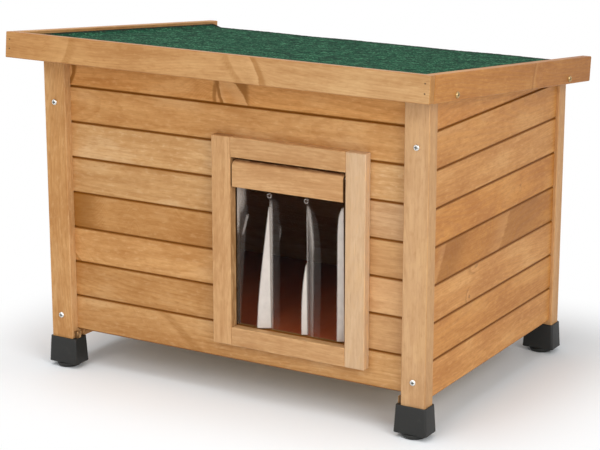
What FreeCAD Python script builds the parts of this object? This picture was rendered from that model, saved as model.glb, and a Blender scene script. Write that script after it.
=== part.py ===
import FreeCAD, Part
import math
import os

# Cat house: a plank cabin on four capped legs under a hinged pent roof lid, with a clear strip flap.
# Millimetres. +X right, +Y to the rear, +Z up. The origin is on the floor, under the middle of the roof.

V = FreeCAD.Vector

# Body: the outline over the four corner posts, and how far the roof stands past it
body_width = 527.0
body_depth = 377.5
house_height = 430.0
front_overhang = 45.5
rear_overhang = 27.0
side_overhang = 21.5
roof_pitch = 6.0

# Corner posts and the battens behind them
post_width = 31.0
post_depth = 20.0
post_chamfer = 1.0
batten_depth = 18.0
batten_reveal = 4.0
rebate_lap = 8.0

# Plank walls
plank_pitch = 44.4
plank_thickness = 8.0
plank_chamfer = 1.5
tongue_width = 2.6
tongue_height = 3.0
tongue_clearance = 0.2
plank_end_clearance = 0.2
side_recess = 4.0
front_wall_bottom = 49.0
side_wall_bottom = 44.0

# Floor
floor_top = 72.0
floor_thickness = 8.0
floor_clearance = 0.5
floor_batten_width = 16.0
floor_batten_height = 14.0

# Doorway and its trim
door_centre = 82.0
door_width = 153.7
door_height = 207.6
sill_courses = 1
trim_thickness = 12.0
trim_chamfer = 0.8
stile_width = 25.9
head_rail_height = 24.1
bottom_rail_height = 22.6

# Flap: a bar that pivots under the head rail, and a clear sheet slit into strips behind it
bar_thickness = 12.0
bar_height = 32.5
bar_setback = 1.0
bar_top_gap = 3.0
bar_left_gap = 1.3
bar_right_gap = 3.4
bar_end_chamfer = 1.2
flap_pin_radius = 1.5
flap_pin_grip = 10.0
running_clearance = 0.05
sheet_thickness = 1.5
sheet_hem = 12.0
strip_widths = {"left": 43.6, "middle": 48.9, "right": 48.9}
slit_width = 0.8
slit_drop = 8.0
slit_hole_radius = 1.7
strip_head_gap = 0.95
strip_sill_gap = 2.0
strip_curl = 7.0
strip_facets = 6

# Roof lid, depths measured square to its slope from the top edge of its boards
board_height = 31.0
board_thickness = 12.0
board_chamfer = 0.8
felt_recess = 7.0
felt_thickness = 2.0
felt_inset = 13.0
deck_thickness = 9.0
roof_batten_width = 20.0
roof_batten_height = 13.0
rear_batten_gap = 12.5
lid_clearance = 0.3

# Butt hinges at the rear posts
hinge_width = 28.0
leaf_thickness = 1.5
leaf_length = 21.0
knuckle_radius = 3.0
knuckle_gap = 0.4
knuckle_side_gap = 0.25
hinge_pin_radius = 1.5

# Leg caps and screw-in feet
cap_top = 39.0
cap_floor = 5.0
cap_outer_lip = 2.0
cap_inner_lip = 6.0
cap_front_lip = 2.2
cap_flare = 1.6
cap_corner = 3.0
cap_clearance = 0.2
foot_radius = 15.0
foot_height = 5.4
foot_chamfer = 1.4
foot_gap = 0.3
foot_travel = 10.0
stem_radius = 5.0
stem_grip = 14.0
stem_clearance = 0.3

# Screws: pan heads in the posts and side boards and behind the flap, countersunk heads in the hinges
screw_sides = 10
screw_head_radius = 3.75
screw_head_height = 2.2
screw_radius = 2.0
screw_length = 30.0
screw_clearance = 0.1
post_screw_low = 68.0
post_screw_drop = 54.0
hinge_screw_radius = 1.5
hinge_screw_head_radius = 3.0
hinge_screw_length = 8.0
hinge_screw_spacing = 16.0
sheet_screw_head_radius = 3.0
sheet_screw_head_height = 1.5
sheet_screw_radius = 1.2
sheet_screw_length = 9.0
sheet_screw_inset = 20.0

# Places that follow from those sizes
half_width = body_width / 2
roof_width = body_width + 2 * side_overhang
roof_depth = front_overhang + body_depth + rear_overhang
slope_sin = math.sin(math.radians(roof_pitch))
slope_cos = math.cos(math.radians(roof_pitch))
post_front = front_overhang - roof_depth / 2
post_rear = post_front + body_depth
post_recess = post_depth - plank_thickness
front_plank_face = post_front + post_recess
rear_plank_face = post_rear - post_recess
side_plank_face = half_width - side_recess
lid_edge_y = board_height * slope_sin - roof_depth / 2
lid_length = (roof_depth / 2 - lid_edge_y) / slope_cos
deck_top = felt_recess + felt_thickness
deck_bottom = deck_top + deck_thickness
roof_batten_bottom = deck_bottom + roof_batten_height
wall_depth = roof_batten_bottom + lid_clearance
rear_post_depth = deck_bottom + leaf_thickness + lid_clearance
door_left = door_centre - door_width / 2
door_right = door_centre + door_width / 2
door_bottom = front_wall_bottom + sill_courses * plank_pitch
door_top = door_bottom + door_height
trim_front = front_plank_face - trim_thickness
bar_left = door_left + bar_left_gap
bar_right = door_right - bar_right_gap
bar_front = trim_front + bar_setback
bar_back = bar_front + bar_thickness
bar_top = door_top - bar_top_gap
bar_bottom = bar_top - bar_height
bar_axis_y = bar_front + bar_thickness / 2
bar_axis_z = bar_top - bar_thickness / 2
slit_z = bar_bottom - slit_drop
cap_bottom = foot_height + foot_gap
stem_length = foot_travel + stem_grip
post_bottom = cap_bottom + cap_floor
hinge_reach = knuckle_radius + knuckle_gap
hinge_axis_y = post_rear + hinge_reach
hinge_axis_depth = deck_bottom + hinge_reach
CORNERS = {
    "front_left": (-1, "front"),
    "front_right": (1, "front"),
    "rear_left": (-1, "rear"),
    "rear_right": (1, "rear"),
}
HINGE_CORNERS = ("rear_left", "rear_right")


def block(x0, x1, y0, y1, z0, z1):
    """Box between two corners."""
    return Part.makeBox(x1 - x0, y1 - y0, z1 - z0, V(x0, y0, z0))


def eased(shape, size):
    """The shape with a chamfer on every edge."""
    return shape.makeChamfer(size, shape.Edges)


def prism_x(points, x0, x1):
    """Outline of (y, z) points carried along X."""
    ring = [V(x0, y, z) for y, z in points]
    return Part.Face(Part.makePolygon(ring + ring[:1])).extrude(V(x1 - x0, 0, 0))


def turned(points):
    """Solid of revolution about Z from a closed half outline of (radius, height) points."""
    ring = [V(radius, 0, z) for radius, z in points]
    return Part.Face(Part.makePolygon(ring + ring[:1])).revolve(V(0, 0, 0), V(0, 0, 1), 360)


def screw_ring(radius, z):
    """Closed many-sided ring about Z, as round as a small screw needs."""
    turns = [2 * math.pi * side / screw_sides for side in range(screw_sides + 1)]
    return Part.makePolygon([V(radius * math.cos(turn), radius * math.sin(turn), z) for turn in turns])


def peg(start_radius, end_radius, start, end):
    """Straight or tapered many-sided peg along Z."""
    return Part.makeLoft([screw_ring(start_radius, start), screw_ring(end_radius, end)], True, True)


def aimed(shape, base, direction):
    """A copy whose Z axis points along the direction from the base."""
    copy = shape.copy()
    copy.Placement = FreeCAD.Placement(base, FreeCAD.Rotation(V(0, 0, 1), direction))
    return copy


def pan_screw(head_radius, head_height, radius, length):
    """Bevelled head on a straight shank, head seat at the origin and shank down -Z."""
    head = peg(head_radius, head_radius - head_height / 2, 0, head_height)
    return head.fuse(peg(radius, radius, -length, 0))


def hinge_screw():
    """Countersunk head flush with the origin, shank down -Z."""
    sunk = peg(hinge_screw_radius, hinge_screw_head_radius, -leaf_thickness, 0)
    return sunk.fuse(peg(hinge_screw_radius, hinge_screw_radius, -hinge_screw_length, -leaf_thickness))


def screw_holes(shape, bases, direction, radius, length):
    """The shape with a screw's clearance hole from each base along the direction."""
    hole = peg(radius + screw_clearance, radius + screw_clearance, -length - screw_clearance, 0)
    for base in bases:
        shape = shape.cut(aimed(hole, base, direction * -1))
    return shape


def drilled(shape, bases, direction, radius, length):
    """The shape with a round hole from each base along the direction."""
    for base in bases:
        shape = shape.cut(Part.makeCylinder(radius, length, base, direction))
    return shape


def roof_z(y, depth):
    """Height of the plane that lies the given depth under the lid's top, at y."""
    return house_height - (y - lid_edge_y) * slope_sin / slope_cos - depth / slope_cos


def lid_u(y, depth):
    """Distance down the slope from the lid's front edge to the point at y on a plane of that depth."""
    return (y - lid_edge_y + depth * slope_sin) / slope_cos


def under_roof(depth):
    """Everything from the floor up to the plane of that depth under the lid."""
    points = [(-roof_depth, 0), (roof_depth, 0)]
    points += [(roof_depth, roof_z(roof_depth, depth)), (-roof_depth, roof_z(-roof_depth, depth))]
    return prism_x(points, -roof_width, roof_width)


def on_lid(shape):
    """A shape drawn with the lid's front top edge as its X axis, laid on the slope."""
    copy = shape.copy()
    tilt = FreeCAD.Rotation(V(1, 0, 0), -roof_pitch)
    copy.Placement = FreeCAD.Placement(V(0, lid_edge_y, house_height), tilt).multiply(copy.Placement)
    return copy


def corner_x(corner, inset):
    """X of a line that lies an inset in from a corner's outer side face."""
    return CORNERS[corner][0] * (half_width - inset)


def corner_y(corner, inset):
    """Y of a line that lies an inset in from a corner's front or rear face."""
    return post_front + inset if CORNERS[corner][1] == "front" else post_rear - inset


def corner_outward(corner):
    """Direction out of a corner post's front or rear face."""
    return V(0, -1, 0) if CORNERS[corner][1] == "front" else V(0, 1, 0)


def corner_span(corner, side_from, side_to, face_from, face_to):
    """X and Y limits of a rectangle given by its insets from a corner's two outer faces."""
    xs = sorted((corner_x(corner, side_from), corner_x(corner, side_to)))
    ys = sorted((corner_y(corner, face_from), corner_y(corner, face_to)))
    return xs[0], xs[1], ys[0], ys[1]


def post_top_depth(corner):
    """Depth of a post's top under the lid: front posts meet the lid's batten, rear posts its hinge leaves."""
    return wall_depth if CORNERS[corner][1] == "front" else rear_post_depth


def post_screw_heights(corner):
    """Heights of the two screws through a corner post."""
    return post_screw_low, roof_z(corner_y(corner, 0), post_top_depth(corner)) - post_screw_drop


def post_screw_bases(corner):
    """Points where the screws' heads seat on a corner post."""
    x = corner_x(corner, post_width / 2)
    return [V(x, corner_y(corner, 0), z) for z in post_screw_heights(corner)]


def foot_centre(corner, z):
    """Point on a foot's axis."""
    x = corner_x(corner, (post_width + cap_inner_lip - cap_outer_lip) / 2)
    return V(x, corner_y(corner, post_depth / 2), z)


def hinge_screw_spots():
    """Points where a hinge leaf's screws sit, with the pin as the X axis and the leaf hanging down."""
    z = -hinge_reach - leaf_length / 2
    return [V(side * hinge_screw_spacing / 2, leaf_thickness - hinge_reach, z) for side in (-1, 1)]


def at_fixed_leaf(corner):
    """Placement of the leaf on a rear post."""
    x = corner_x(corner, post_width / 2)
    return FreeCAD.Placement(V(x, hinge_axis_y, roof_z(hinge_axis_y, hinge_axis_depth)), FreeCAD.Rotation())


def at_lid_leaf(corner):
    """Placement of the leaf under the deck, in the lid's own axes."""
    x = corner_x(corner, post_width / 2)
    base = V(x, lid_u(hinge_axis_y, hinge_axis_depth), -hinge_axis_depth)
    return FreeCAD.Placement(base, FreeCAD.Rotation(V(1, 0, 0), -90))


def make_posts():
    """Corner posts, rebated behind for the plank ends, drilled for their screws and for the feet's stems."""
    nodes = {}
    for corner in CORNERS:
        span = corner_span(corner, 0, post_width, 0, post_depth)
        post = block(*span, post_bottom, house_height)
        uprights = [edge for edge in post.Edges if edge.BoundBox.ZLength > post_width]
        post = post.makeChamfer(post_chamfer, uprights)
        rebate = corner_span(corner, post_width - rebate_lap, post_width, post_recess, post_depth)
        post = post.cut(block(*rebate, front_wall_bottom, house_height))
        post = post.common(under_roof(post_top_depth(corner)))
        inward = corner_outward(corner) * -1
        post = screw_holes(post, post_screw_bases(corner), inward, screw_radius, screw_length)
        stem_hole = stem_radius + stem_clearance
        stem_top = foot_height + stem_length + stem_clearance
        post = drilled(post, [foot_centre(corner, 0)], V(0, 0, 1), stem_hole, stem_top)
        if CORNERS[corner][1] == "rear":
            spots = [at_fixed_leaf(corner).multVec(spot) for spot in hinge_screw_spots()]
            post = screw_holes(post, spots, inward, hinge_screw_radius, hinge_screw_length)
        nodes["post_" + corner] = post
    return nodes


def make_corner_battens():
    """Upright battens in the corners, behind the posts and inside the side planks."""
    nodes = {}
    for corner in CORNERS:
        side = side_recess + plank_thickness
        span = corner_span(corner, side, post_width + batten_reveal, post_depth, post_depth + batten_depth)
        batten = block(*span, cap_top, house_height).common(under_roof(wall_depth))
        inward = corner_outward(corner) * -1
        batten = screw_holes(batten, post_screw_bases(corner), inward, screw_radius, screw_length)
        nodes["batten_" + corner] = batten
    return nodes


def make_post_screws():
    """Two pan-head screws through each post into the batten behind it."""
    screw = pan_screw(screw_head_radius, screw_head_height, screw_radius, screw_length)
    screws = []
    for corner in CORNERS:
        screws += [aimed(screw, base, corner_outward(corner)) for base in post_screw_bases(corner)]
    return {"post_screws": Part.makeCompound(screws)}


def frustum(low, high, z0, z1):
    """Solid with plane sides between two rectangles, each (x0, x1, y0, y1), at two heights."""
    wedge = Part.makeWedge(low[0], z0, -low[3], -high[3], high[0], low[1], z1, -low[2], -high[2], high[1])
    wedge.rotate(V(0, 0, 0), V(1, 0, 0), 90)
    return wedge


def make_caps():
    """Flared plastic cups on the legs, bored for the feet's stems."""
    nodes = {}
    for corner in CORNERS:
        side = (-cap_outer_lip, post_width + cap_inner_lip)
        face = (-cap_front_lip, post_depth + cap_front_lip)
        top = corner_span(corner, *side, *face)
        flared = (top[0] - cap_flare, top[1] + cap_flare, top[2] - cap_flare, top[3] + cap_flare)
        cup = frustum(flared, top, cap_bottom, cap_top)
        uprights = [edge for edge in cup.Edges if edge.BoundBox.ZLength > cap_corner]
        cup = cup.makeFillet(cap_corner, uprights)
        slack = cap_clearance
        socket = corner_span(corner, -slack, post_width + slack, -slack, post_depth + slack)
        cup = cup.cut(block(*socket, post_bottom, cap_top))
        bore = stem_radius + stem_clearance
        nodes["cap_" + corner] = drilled(cup, [foot_centre(corner, 0)], V(0, 0, 1), bore, cap_top)
    return nodes


def make_feet():
    """Round feet on stems that screw up into the legs."""
    top = foot_height + stem_length
    points = [(0, 0), (foot_radius - foot_chamfer, 0), (foot_radius, foot_chamfer)]
    points += [(foot_radius, foot_height), (stem_radius, foot_height), (stem_radius, top), (0, top)]
    foot = turned(points)
    return {"foot_" + corner: aimed(foot, foot_centre(corner, 0), V(0, 0, 1)) for corner in CORNERS}


def plank(start, end, bottom, top, grooved, tongued):
    """Plank along X, outer face on Y = 0 and V-jointed there, with a tongue above and a groove below."""
    middle = plank_thickness / 2
    half_tongue = tongue_width / 2
    half_groove = half_tongue + tongue_clearance
    groove_top = bottom + tongue_height + tongue_clearance
    points = [(0, bottom + plank_chamfer), (plank_chamfer, bottom)]
    if grooved:
        points += [(middle - half_groove, bottom), (middle - half_groove, groove_top)]
        points += [(middle + half_groove, groove_top), (middle + half_groove, bottom)]
    points += [(plank_thickness, bottom), (plank_thickness, top)]
    if tongued:
        points += [(middle + half_tongue, top), (middle + half_tongue, top + tongue_height)]
        points += [(middle - half_tongue, top + tongue_height), (middle - half_tongue, top)]
    points += [(plank_chamfer, top), (0, top - plank_chamfer)]
    return prism_x(points, start, end)


def wall_courses(bottom, start, end, place, highest, plain_topped=()):
    """Planks of one wall from the bottom up, placed by a placement and trimmed under the lid; the courses
    that are counted as plain-topped have their tongues planed off."""
    count = math.ceil((highest - bottom) / plank_pitch)
    trim = under_roof(wall_depth)
    courses = []
    for index in range(count):
        low = bottom + index * plank_pitch
        tongued = index < count - 1 and index + 1 not in plain_topped
        board = plank(start, end, low, low + plank_pitch, index > 0, tongued)
        board.Placement = place
        courses.append(board.common(trim))
    return courses


def turned_about_z(x, y, angle):
    """Placement at a point on the floor, turned about Z."""
    return FreeCAD.Placement(V(x, y, 0), FreeCAD.Rotation(V(0, 0, 1), angle))


def make_front_wall():
    """Front planks cut round the doorway; a course that it parts becomes a left and a right plank."""
    end = half_width - post_width + rebate_lap - plank_end_clearance
    place = turned_about_z(0, front_plank_face, 0)
    doorway = block(door_left, door_right, post_front, post_front + 2 * post_depth, door_bottom, door_top)
    nodes = {}
    highest = roof_z(front_plank_face, wall_depth)
    courses = wall_courses(front_wall_bottom, -end, end, place, highest, plain_topped=(sill_courses,))
    for number, board in enumerate(courses, start=1):
        pieces = sorted(board.cut(doorway).Solids, key=lambda solid: solid.CenterOfMass.x)
        name = "front_plank_%d" % number
        if len(pieces) == 1:
            nodes[name] = pieces[0]
        else:
            nodes[name + "_left"] = pieces[0]
            nodes[name + "_right"] = pieces[-1]
    return nodes


def make_other_walls():
    """Rear and side walls, each a group of planks."""
    end = half_width - post_width + rebate_lap - plank_end_clearance
    rear = turned_about_z(0, rear_plank_face, 180)
    rear_top = roof_z(rear_plank_face - plank_thickness, wall_depth)
    front_end = post_front + post_depth + plank_end_clearance
    rear_end = post_rear - post_depth - plank_end_clearance
    side_top = roof_z(front_end, wall_depth)
    right = turned_about_z(side_plank_face, 0, 90)
    left = turned_about_z(-side_plank_face, 0, -90)
    walls = {
        "rear_wall_planks": wall_courses(front_wall_bottom, -end, end, rear, rear_top),
        "right_wall_planks": wall_courses(side_wall_bottom, front_end, rear_end, right, side_top),
        "left_wall_planks": wall_courses(side_wall_bottom, -rear_end, -front_end, left, side_top),
    }
    return {name: Part.makeCompound([solid for board in boards for solid in board.Solids])
            for name, boards in walls.items()}


def make_floor():
    """Floor panel notched round the corner battens, on a batten along the front and the rear wall."""
    inner_front = post_front + post_depth
    inner_rear = post_rear - post_depth
    half_floor = side_plank_face - plank_thickness - floor_clearance
    low = floor_top - floor_thickness
    panel_front = inner_front + floor_clearance
    panel_rear = inner_rear - floor_clearance
    panel = block(-half_floor, half_floor, panel_front, panel_rear, low, floor_top)
    notch_side = post_width + batten_reveal + floor_clearance
    notch_face = post_depth + batten_depth + floor_clearance
    for corner in CORNERS:
        panel = panel.cut(block(*corner_span(corner, 0, notch_side, 0, notch_face), low, floor_top))
    half_batten = half_width - notch_side
    depth = floor_batten_height
    front = block(-half_batten, half_batten, inner_front, inner_front + floor_batten_width, low - depth, low)
    rear = block(-half_batten, half_batten, inner_rear - floor_batten_width, inner_rear, low - depth, low)
    return {
        "floor_panel": panel,
        "floor_batten_front": eased(front, trim_chamfer),
        "floor_batten_rear": eased(rear, trim_chamfer),
    }


def flap_pin_base(side):
    """Point inside a stile where a flap pin starts."""
    x = door_left - flap_pin_grip if side == "left" else bar_right - flap_pin_grip
    return V(x, bar_axis_y, bar_axis_z)


def flap_pin_length(side):
    """Length of a flap pin: its grip in the stile and in the bar, and the gap between them."""
    return 2 * flap_pin_grip + (bar_left_gap if side == "left" else bar_right_gap)


def make_door_trim():
    """Two full-height stiles and two rails between them, planted on the front planks."""
    low = door_bottom - bottom_rail_height
    high = door_top + head_rail_height
    hole = flap_pin_radius + running_clearance
    nodes = {}
    for side, inner, outer in (("left", door_left, door_left - stile_width),
                               ("right", door_right, door_right + stile_width)):
        stile = block(min(inner, outer), max(inner, outer), trim_front, front_plank_face, low, high)
        stile = eased(stile, trim_chamfer)
        length = flap_pin_length(side) + running_clearance
        nodes["door_stile_" + side] = drilled(stile, [flap_pin_base(side)], V(1, 0, 0), hole, length)
    head = block(door_left, door_right, trim_front, front_plank_face, door_top, high)
    foot = block(door_left, door_right, trim_front, front_plank_face, low, door_bottom)
    nodes["door_head_rail"] = eased(head, trim_chamfer)
    nodes["door_bottom_rail"] = eased(foot, trim_chamfer)
    return nodes


def sheet_screw_bases():
    """Points on the back of the clear sheet where its screws sit."""
    y = bar_back + sheet_thickness
    z = (bar_bottom + bar_top - sheet_hem) / 2
    left = bar_left + sheet_screw_inset
    right = bar_left + sheet_width() - sheet_screw_inset
    return [V(x, y, z) for x in (left, (left + right) / 2, right)]


def sheet_width():
    """Width of the clear sheet over its strips and slits."""
    return sum(strip_widths.values()) + slit_width * (len(strip_widths) - 1)


def strip_spans():
    """X limits of each strip, from the left."""
    spans = {}
    x = bar_left
    for name, width in strip_widths.items():
        spans[name] = (x, x + width)
        x += width + slit_width
    return spans


def slit_holes():
    """Round relief holes at the heads of the slits, as cutters through the sheet."""
    ends = [span[1] for span in strip_spans().values()][:-1]
    reach = 2 * bar_thickness
    bases = [V(end + slit_width / 2, bar_back - bar_thickness, slit_z) for end in ends]
    return Part.makeCompound([Part.makeCylinder(slit_hole_radius, reach, base, V(0, 1, 0)) for base in bases])


def make_flap_bar():
    """Pivoting bar: flat faces, a round top about its pivot, softened ends with pin holes."""
    front_foot = V(bar_left, bar_front, bar_bottom)
    front_head = V(bar_left, bar_front, bar_axis_z)
    crown = V(bar_left, bar_axis_y, bar_top)
    back_head = V(bar_left, bar_back, bar_axis_z)
    back_foot = V(bar_left, bar_back, bar_bottom)
    lean = bar_thickness / 2 * math.sqrt(0.5)
    rise_front = V(bar_left, bar_axis_y - lean, bar_axis_z + lean)
    rise_back = V(bar_left, bar_axis_y + lean, bar_axis_z + lean)
    edges = [
        Part.makeLine(front_foot, front_head),
        Part.Arc(front_head, rise_front, crown).toShape(),
        Part.Arc(crown, rise_back, back_head).toShape(),
        Part.makeLine(back_head, back_foot),
        Part.makeLine(back_foot, front_foot),
    ]
    bar = Part.Face(Part.Wire(edges)).extrude(V(bar_right - bar_left, 0, 0))
    ends = [edge for edge in bar.Edges if edge.BoundBox.XLength < bar_end_chamfer]
    bar = bar.makeChamfer(bar_end_chamfer, ends)
    hole = flap_pin_radius + running_clearance
    for side in ("left", "right"):
        bar = drilled(bar, [flap_pin_base(side)], V(1, 0, 0), hole, flap_pin_length(side) + running_clearance)
    return screw_holes(bar, sheet_screw_bases(), V(0, -1, 0), sheet_screw_radius, sheet_screw_length)


def strip_section(span, z, curl):
    """Closed ring across a strip at one height, bowed to the front along a parabola of the given rise."""
    x0, x1 = span
    edge = bar_back + curl / 2
    shares = [facet / strip_facets for facet in range(strip_facets + 1)]
    front = [V(x0 + share * (x1 - x0), edge - 4 * curl * share * (1 - share), z) for share in shares]
    back = [point + V(0, sheet_thickness, 0) for point in reversed(front)]
    return Part.makePolygon(front + back + front[:1])


def make_flap():
    """Bar and its pins, the sheet's head behind the bar and its screws, and the curled strips below."""
    holes = slit_holes()
    sheet_right = bar_left + sheet_width()
    head_bottom = slit_z + strip_head_gap
    sheet_back = bar_back + sheet_thickness
    head = block(bar_left, sheet_right, bar_back, sheet_back, head_bottom, bar_top - sheet_hem).cut(holes)
    head = screw_holes(head, sheet_screw_bases(), V(0, -1, 0), sheet_screw_radius, sheet_screw_length)
    nodes = {"flap_bar": make_flap_bar(), "flap_sheet_head": head}
    strip_bottom = door_bottom + strip_sill_gap
    for name, span in strip_spans().items():
        sections = [strip_section(span, strip_bottom, strip_curl), strip_section(span, slit_z, 0)]
        nodes["flap_strip_" + name] = Part.makeLoft(sections, True, True).cut(holes)
    pins = [Part.makeCylinder(flap_pin_radius, flap_pin_length(side), flap_pin_base(side), V(1, 0, 0))
            for side in ("left", "right")]
    nodes["flap_pins"] = Part.makeCompound(pins)
    head_size = (sheet_screw_head_radius, sheet_screw_head_height)
    screw = pan_screw(*head_size, sheet_screw_radius, sheet_screw_length)
    screws = [aimed(screw, base, V(0, 1, 0)) for base in sheet_screw_bases()]
    nodes["flap_screws"] = Part.makeCompound(screws)
    return nodes


def roof_batten_middles():
    """Distances down the slope to the middles of the two battens under the deck."""
    depth = deck_bottom + roof_batten_height / 2
    front = lid_u(front_plank_face, depth) + roof_batten_width / 2
    rear = lid_u(post_rear - post_depth - rear_batten_gap, depth) - roof_batten_width / 2
    return {"front": front, "rear": rear}


def board_screw_bases(side):
    """Points on the outer face of a side board where its screws seat, in the lid's own axes."""
    depth = deck_bottom + roof_batten_height / 2
    return [V(side * roof_width / 2, u, -depth) for u in roof_batten_middles().values()]


def make_roof():
    """Lid: fascia, two side boards, deck and felt between them, and two battens under the deck."""
    half_roof = roof_width / 2
    inner = half_roof - board_thickness
    deck_end = lid_length - felt_inset
    fascia = block(-half_roof, half_roof, 0, board_thickness, -board_height, 0)
    pieces = {"roof_fascia": eased(fascia, board_chamfer)}
    for name, side in (("left", -1), ("right", 1)):
        x0, x1 = sorted((side * inner, side * half_roof))
        board = eased(block(x0, x1, board_thickness, lid_length, -board_height, 0), board_chamfer)
        board = screw_holes(board, board_screw_bases(side), V(-side, 0, 0), screw_radius, screw_length)
        pieces["roof_board_" + name] = board
    pieces["roof_felt"] = block(-inner, inner, board_thickness, deck_end, -deck_top, -felt_recess)
    deck = block(-inner, inner, board_thickness, deck_end, -deck_bottom, -deck_top)
    for corner in HINGE_CORNERS:
        spots = [at_lid_leaf(corner).multVec(spot) for spot in hinge_screw_spots()]
        deck = screw_holes(deck, spots, V(0, 0, 1), hinge_screw_radius, hinge_screw_length)
    pieces["roof_deck"] = deck
    for name, middle in roof_batten_middles().items():
        u0 = middle - roof_batten_width / 2
        u1 = middle + roof_batten_width / 2
        batten = eased(block(-inner, inner, u0, u1, -roof_batten_bottom, -deck_bottom), board_chamfer)
        for side in (-1, 1):
            batten = screw_holes(batten, board_screw_bases(side), V(-side, 0, 0), screw_radius, screw_length)
        pieces["roof_batten_" + name] = batten
    screw = pan_screw(screw_head_radius, screw_head_height, screw_radius, screw_length)
    screws = [aimed(screw, base, V(side, 0, 0)) for side in (-1, 1) for base in board_screw_bases(side)]
    pieces["board_screws"] = Part.makeCompound(screws)
    return {name: on_lid(piece) for name, piece in pieces.items()}


def hinge_leaf(sections):
    """Leaf about the X axis: a plate that hangs behind the pin, with bored knuckles in the given spans."""
    back = -hinge_reach
    half = hinge_width / 2
    leaf = block(-half, half, back, back + leaf_thickness, -hinge_reach - leaf_length, -hinge_reach)
    for start, end in sections:
        tab = block(start, end, back, back + leaf_thickness, -hinge_reach, 0)
        barrel = Part.makeCylinder(knuckle_radius, end - start, V(start, 0, 0), V(1, 0, 0))
        leaf = leaf.fuse(tab).fuse(barrel)
    sink = peg(hinge_screw_radius, hinge_screw_head_radius, -leaf_thickness, 0)
    for spot in hinge_screw_spots():
        leaf = leaf.cut(aimed(sink, spot, V(0, 1, 0)))
    bore = hinge_pin_radius + running_clearance
    return drilled(leaf.removeSplitter(), [V(-half, 0, 0)], V(1, 0, 0), bore, hinge_width)


def moved(shape, placement):
    """A copy carried by a placement."""
    copy = shape.copy()
    copy.Placement = placement.multiply(copy.Placement)
    return copy


def make_hinges():
    """Two butt hinges: a leaf on each rear post, a leaf under the deck, a pin and countersunk screws."""
    half = hinge_width / 2
    third = hinge_width / 3
    outer = [(-half, third - half - knuckle_side_gap), (half - third + knuckle_side_gap, half)]
    middle = [(third - half, half - third)]
    pin = Part.makeCylinder(hinge_pin_radius, hinge_width, V(-half, 0, 0), V(1, 0, 0))
    screws = Part.makeCompound([aimed(hinge_screw(), spot, V(0, 1, 0)) for spot in hinge_screw_spots()])
    fixed = {"hinge_leaves_fixed": hinge_leaf(outer), "hinge_pins": pin, "hinge_screws_fixed": screws}
    lid = {"hinge_leaves_lid": hinge_leaf(middle), "hinge_screws_lid": screws}
    nodes = {}
    for name, piece in fixed.items():
        nodes[name] = [moved(piece, at_fixed_leaf(corner)) for corner in HINGE_CORNERS]
    for name, piece in lid.items():
        nodes[name] = [on_lid(moved(piece, at_lid_leaf(corner))) for corner in HINGE_CORNERS]
    return {name: Part.makeCompound([solid for copy in copies for solid in copy.Solids])
            for name, copies in nodes.items()}


def make_house():
    """Every node of the house by name."""
    makers = [make_posts, make_corner_battens, make_post_screws, make_caps, make_feet, make_front_wall]
    makers += [make_other_walls, make_floor, make_door_trim, make_flap, make_roof, make_hinges]
    nodes = {}
    for maker in makers:
        nodes.update(maker())
    return nodes


os.makedirs("parts", exist_ok=True)
for node, shape in make_house().items():
    shape.exportStep("parts/%s.step" % node)
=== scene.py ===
"""Looks of the cat house: glazed fir boards, mineral felt, a clear strip flap, plastic leg caps and zinc screws.

Metres, in the frame's own axes: +X right along the front, +Y to the rear, +Z up.
"""

import logging
import math
from dataclasses import dataclass, field, replace
from enum import Enum

import bmesh
import bpy
import numpy as np
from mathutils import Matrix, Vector


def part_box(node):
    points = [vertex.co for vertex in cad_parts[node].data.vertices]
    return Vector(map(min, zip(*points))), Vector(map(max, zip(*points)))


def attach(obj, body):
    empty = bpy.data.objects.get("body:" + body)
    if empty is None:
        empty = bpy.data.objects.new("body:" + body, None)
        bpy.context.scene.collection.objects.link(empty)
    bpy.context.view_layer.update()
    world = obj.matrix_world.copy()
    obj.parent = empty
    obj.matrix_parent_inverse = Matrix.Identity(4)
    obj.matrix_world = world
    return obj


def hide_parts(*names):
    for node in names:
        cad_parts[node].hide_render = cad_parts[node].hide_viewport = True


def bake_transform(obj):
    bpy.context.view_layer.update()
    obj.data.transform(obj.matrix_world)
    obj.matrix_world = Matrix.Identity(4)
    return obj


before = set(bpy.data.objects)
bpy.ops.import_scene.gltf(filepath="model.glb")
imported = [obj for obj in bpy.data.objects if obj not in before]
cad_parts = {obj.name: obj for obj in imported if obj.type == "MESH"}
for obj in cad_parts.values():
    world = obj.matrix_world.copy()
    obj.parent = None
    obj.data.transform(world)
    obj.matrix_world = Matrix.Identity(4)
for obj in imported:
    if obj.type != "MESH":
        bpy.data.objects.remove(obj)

LOG = logging.getLogger("cat_house")
MM = 0.001
QUARTER = math.pi / 2
PITCH = math.radians(6.0)
SKIN = (0.2 * MM, 0.6 * MM)
CORNERS = ("front_left", "front_right", "rear_left", "rear_right")
Array = np.ndarray
Shell = tuple[Array, Array]
Box = tuple[Vector, Vector]
Pair = tuple[float, float]
Tone = tuple[float, float]
Steps = tuple[float, float, float, float]
Colour = tuple[float, float, float, float]


def srgb(red: float, green: float, blue: float) -> Colour:
    """Scene-linear colour of a display colour.

    Args:
        red: its red, from 0 to 255.
        green: its green.
        blue: its blue.

    Returns:
        The colour, with an alpha of 1.
    """
    share = np.array([red, green, blue]) / 255.0
    linear = np.where(share <= 0.04045, share / 12.92, ((share + 0.055) / 1.055) ** 2.4)
    return (*linear.tolist(), 1.0)


def smooth(value: Array, low: float, high: float) -> Array:
    """Smooth step: 0 up to low, 1 from high, and a cubic between them."""
    share = np.clip((value - low) / (high - low), 0.0, 1.0)
    return share * share * (3.0 - 2.0 * share)


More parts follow.
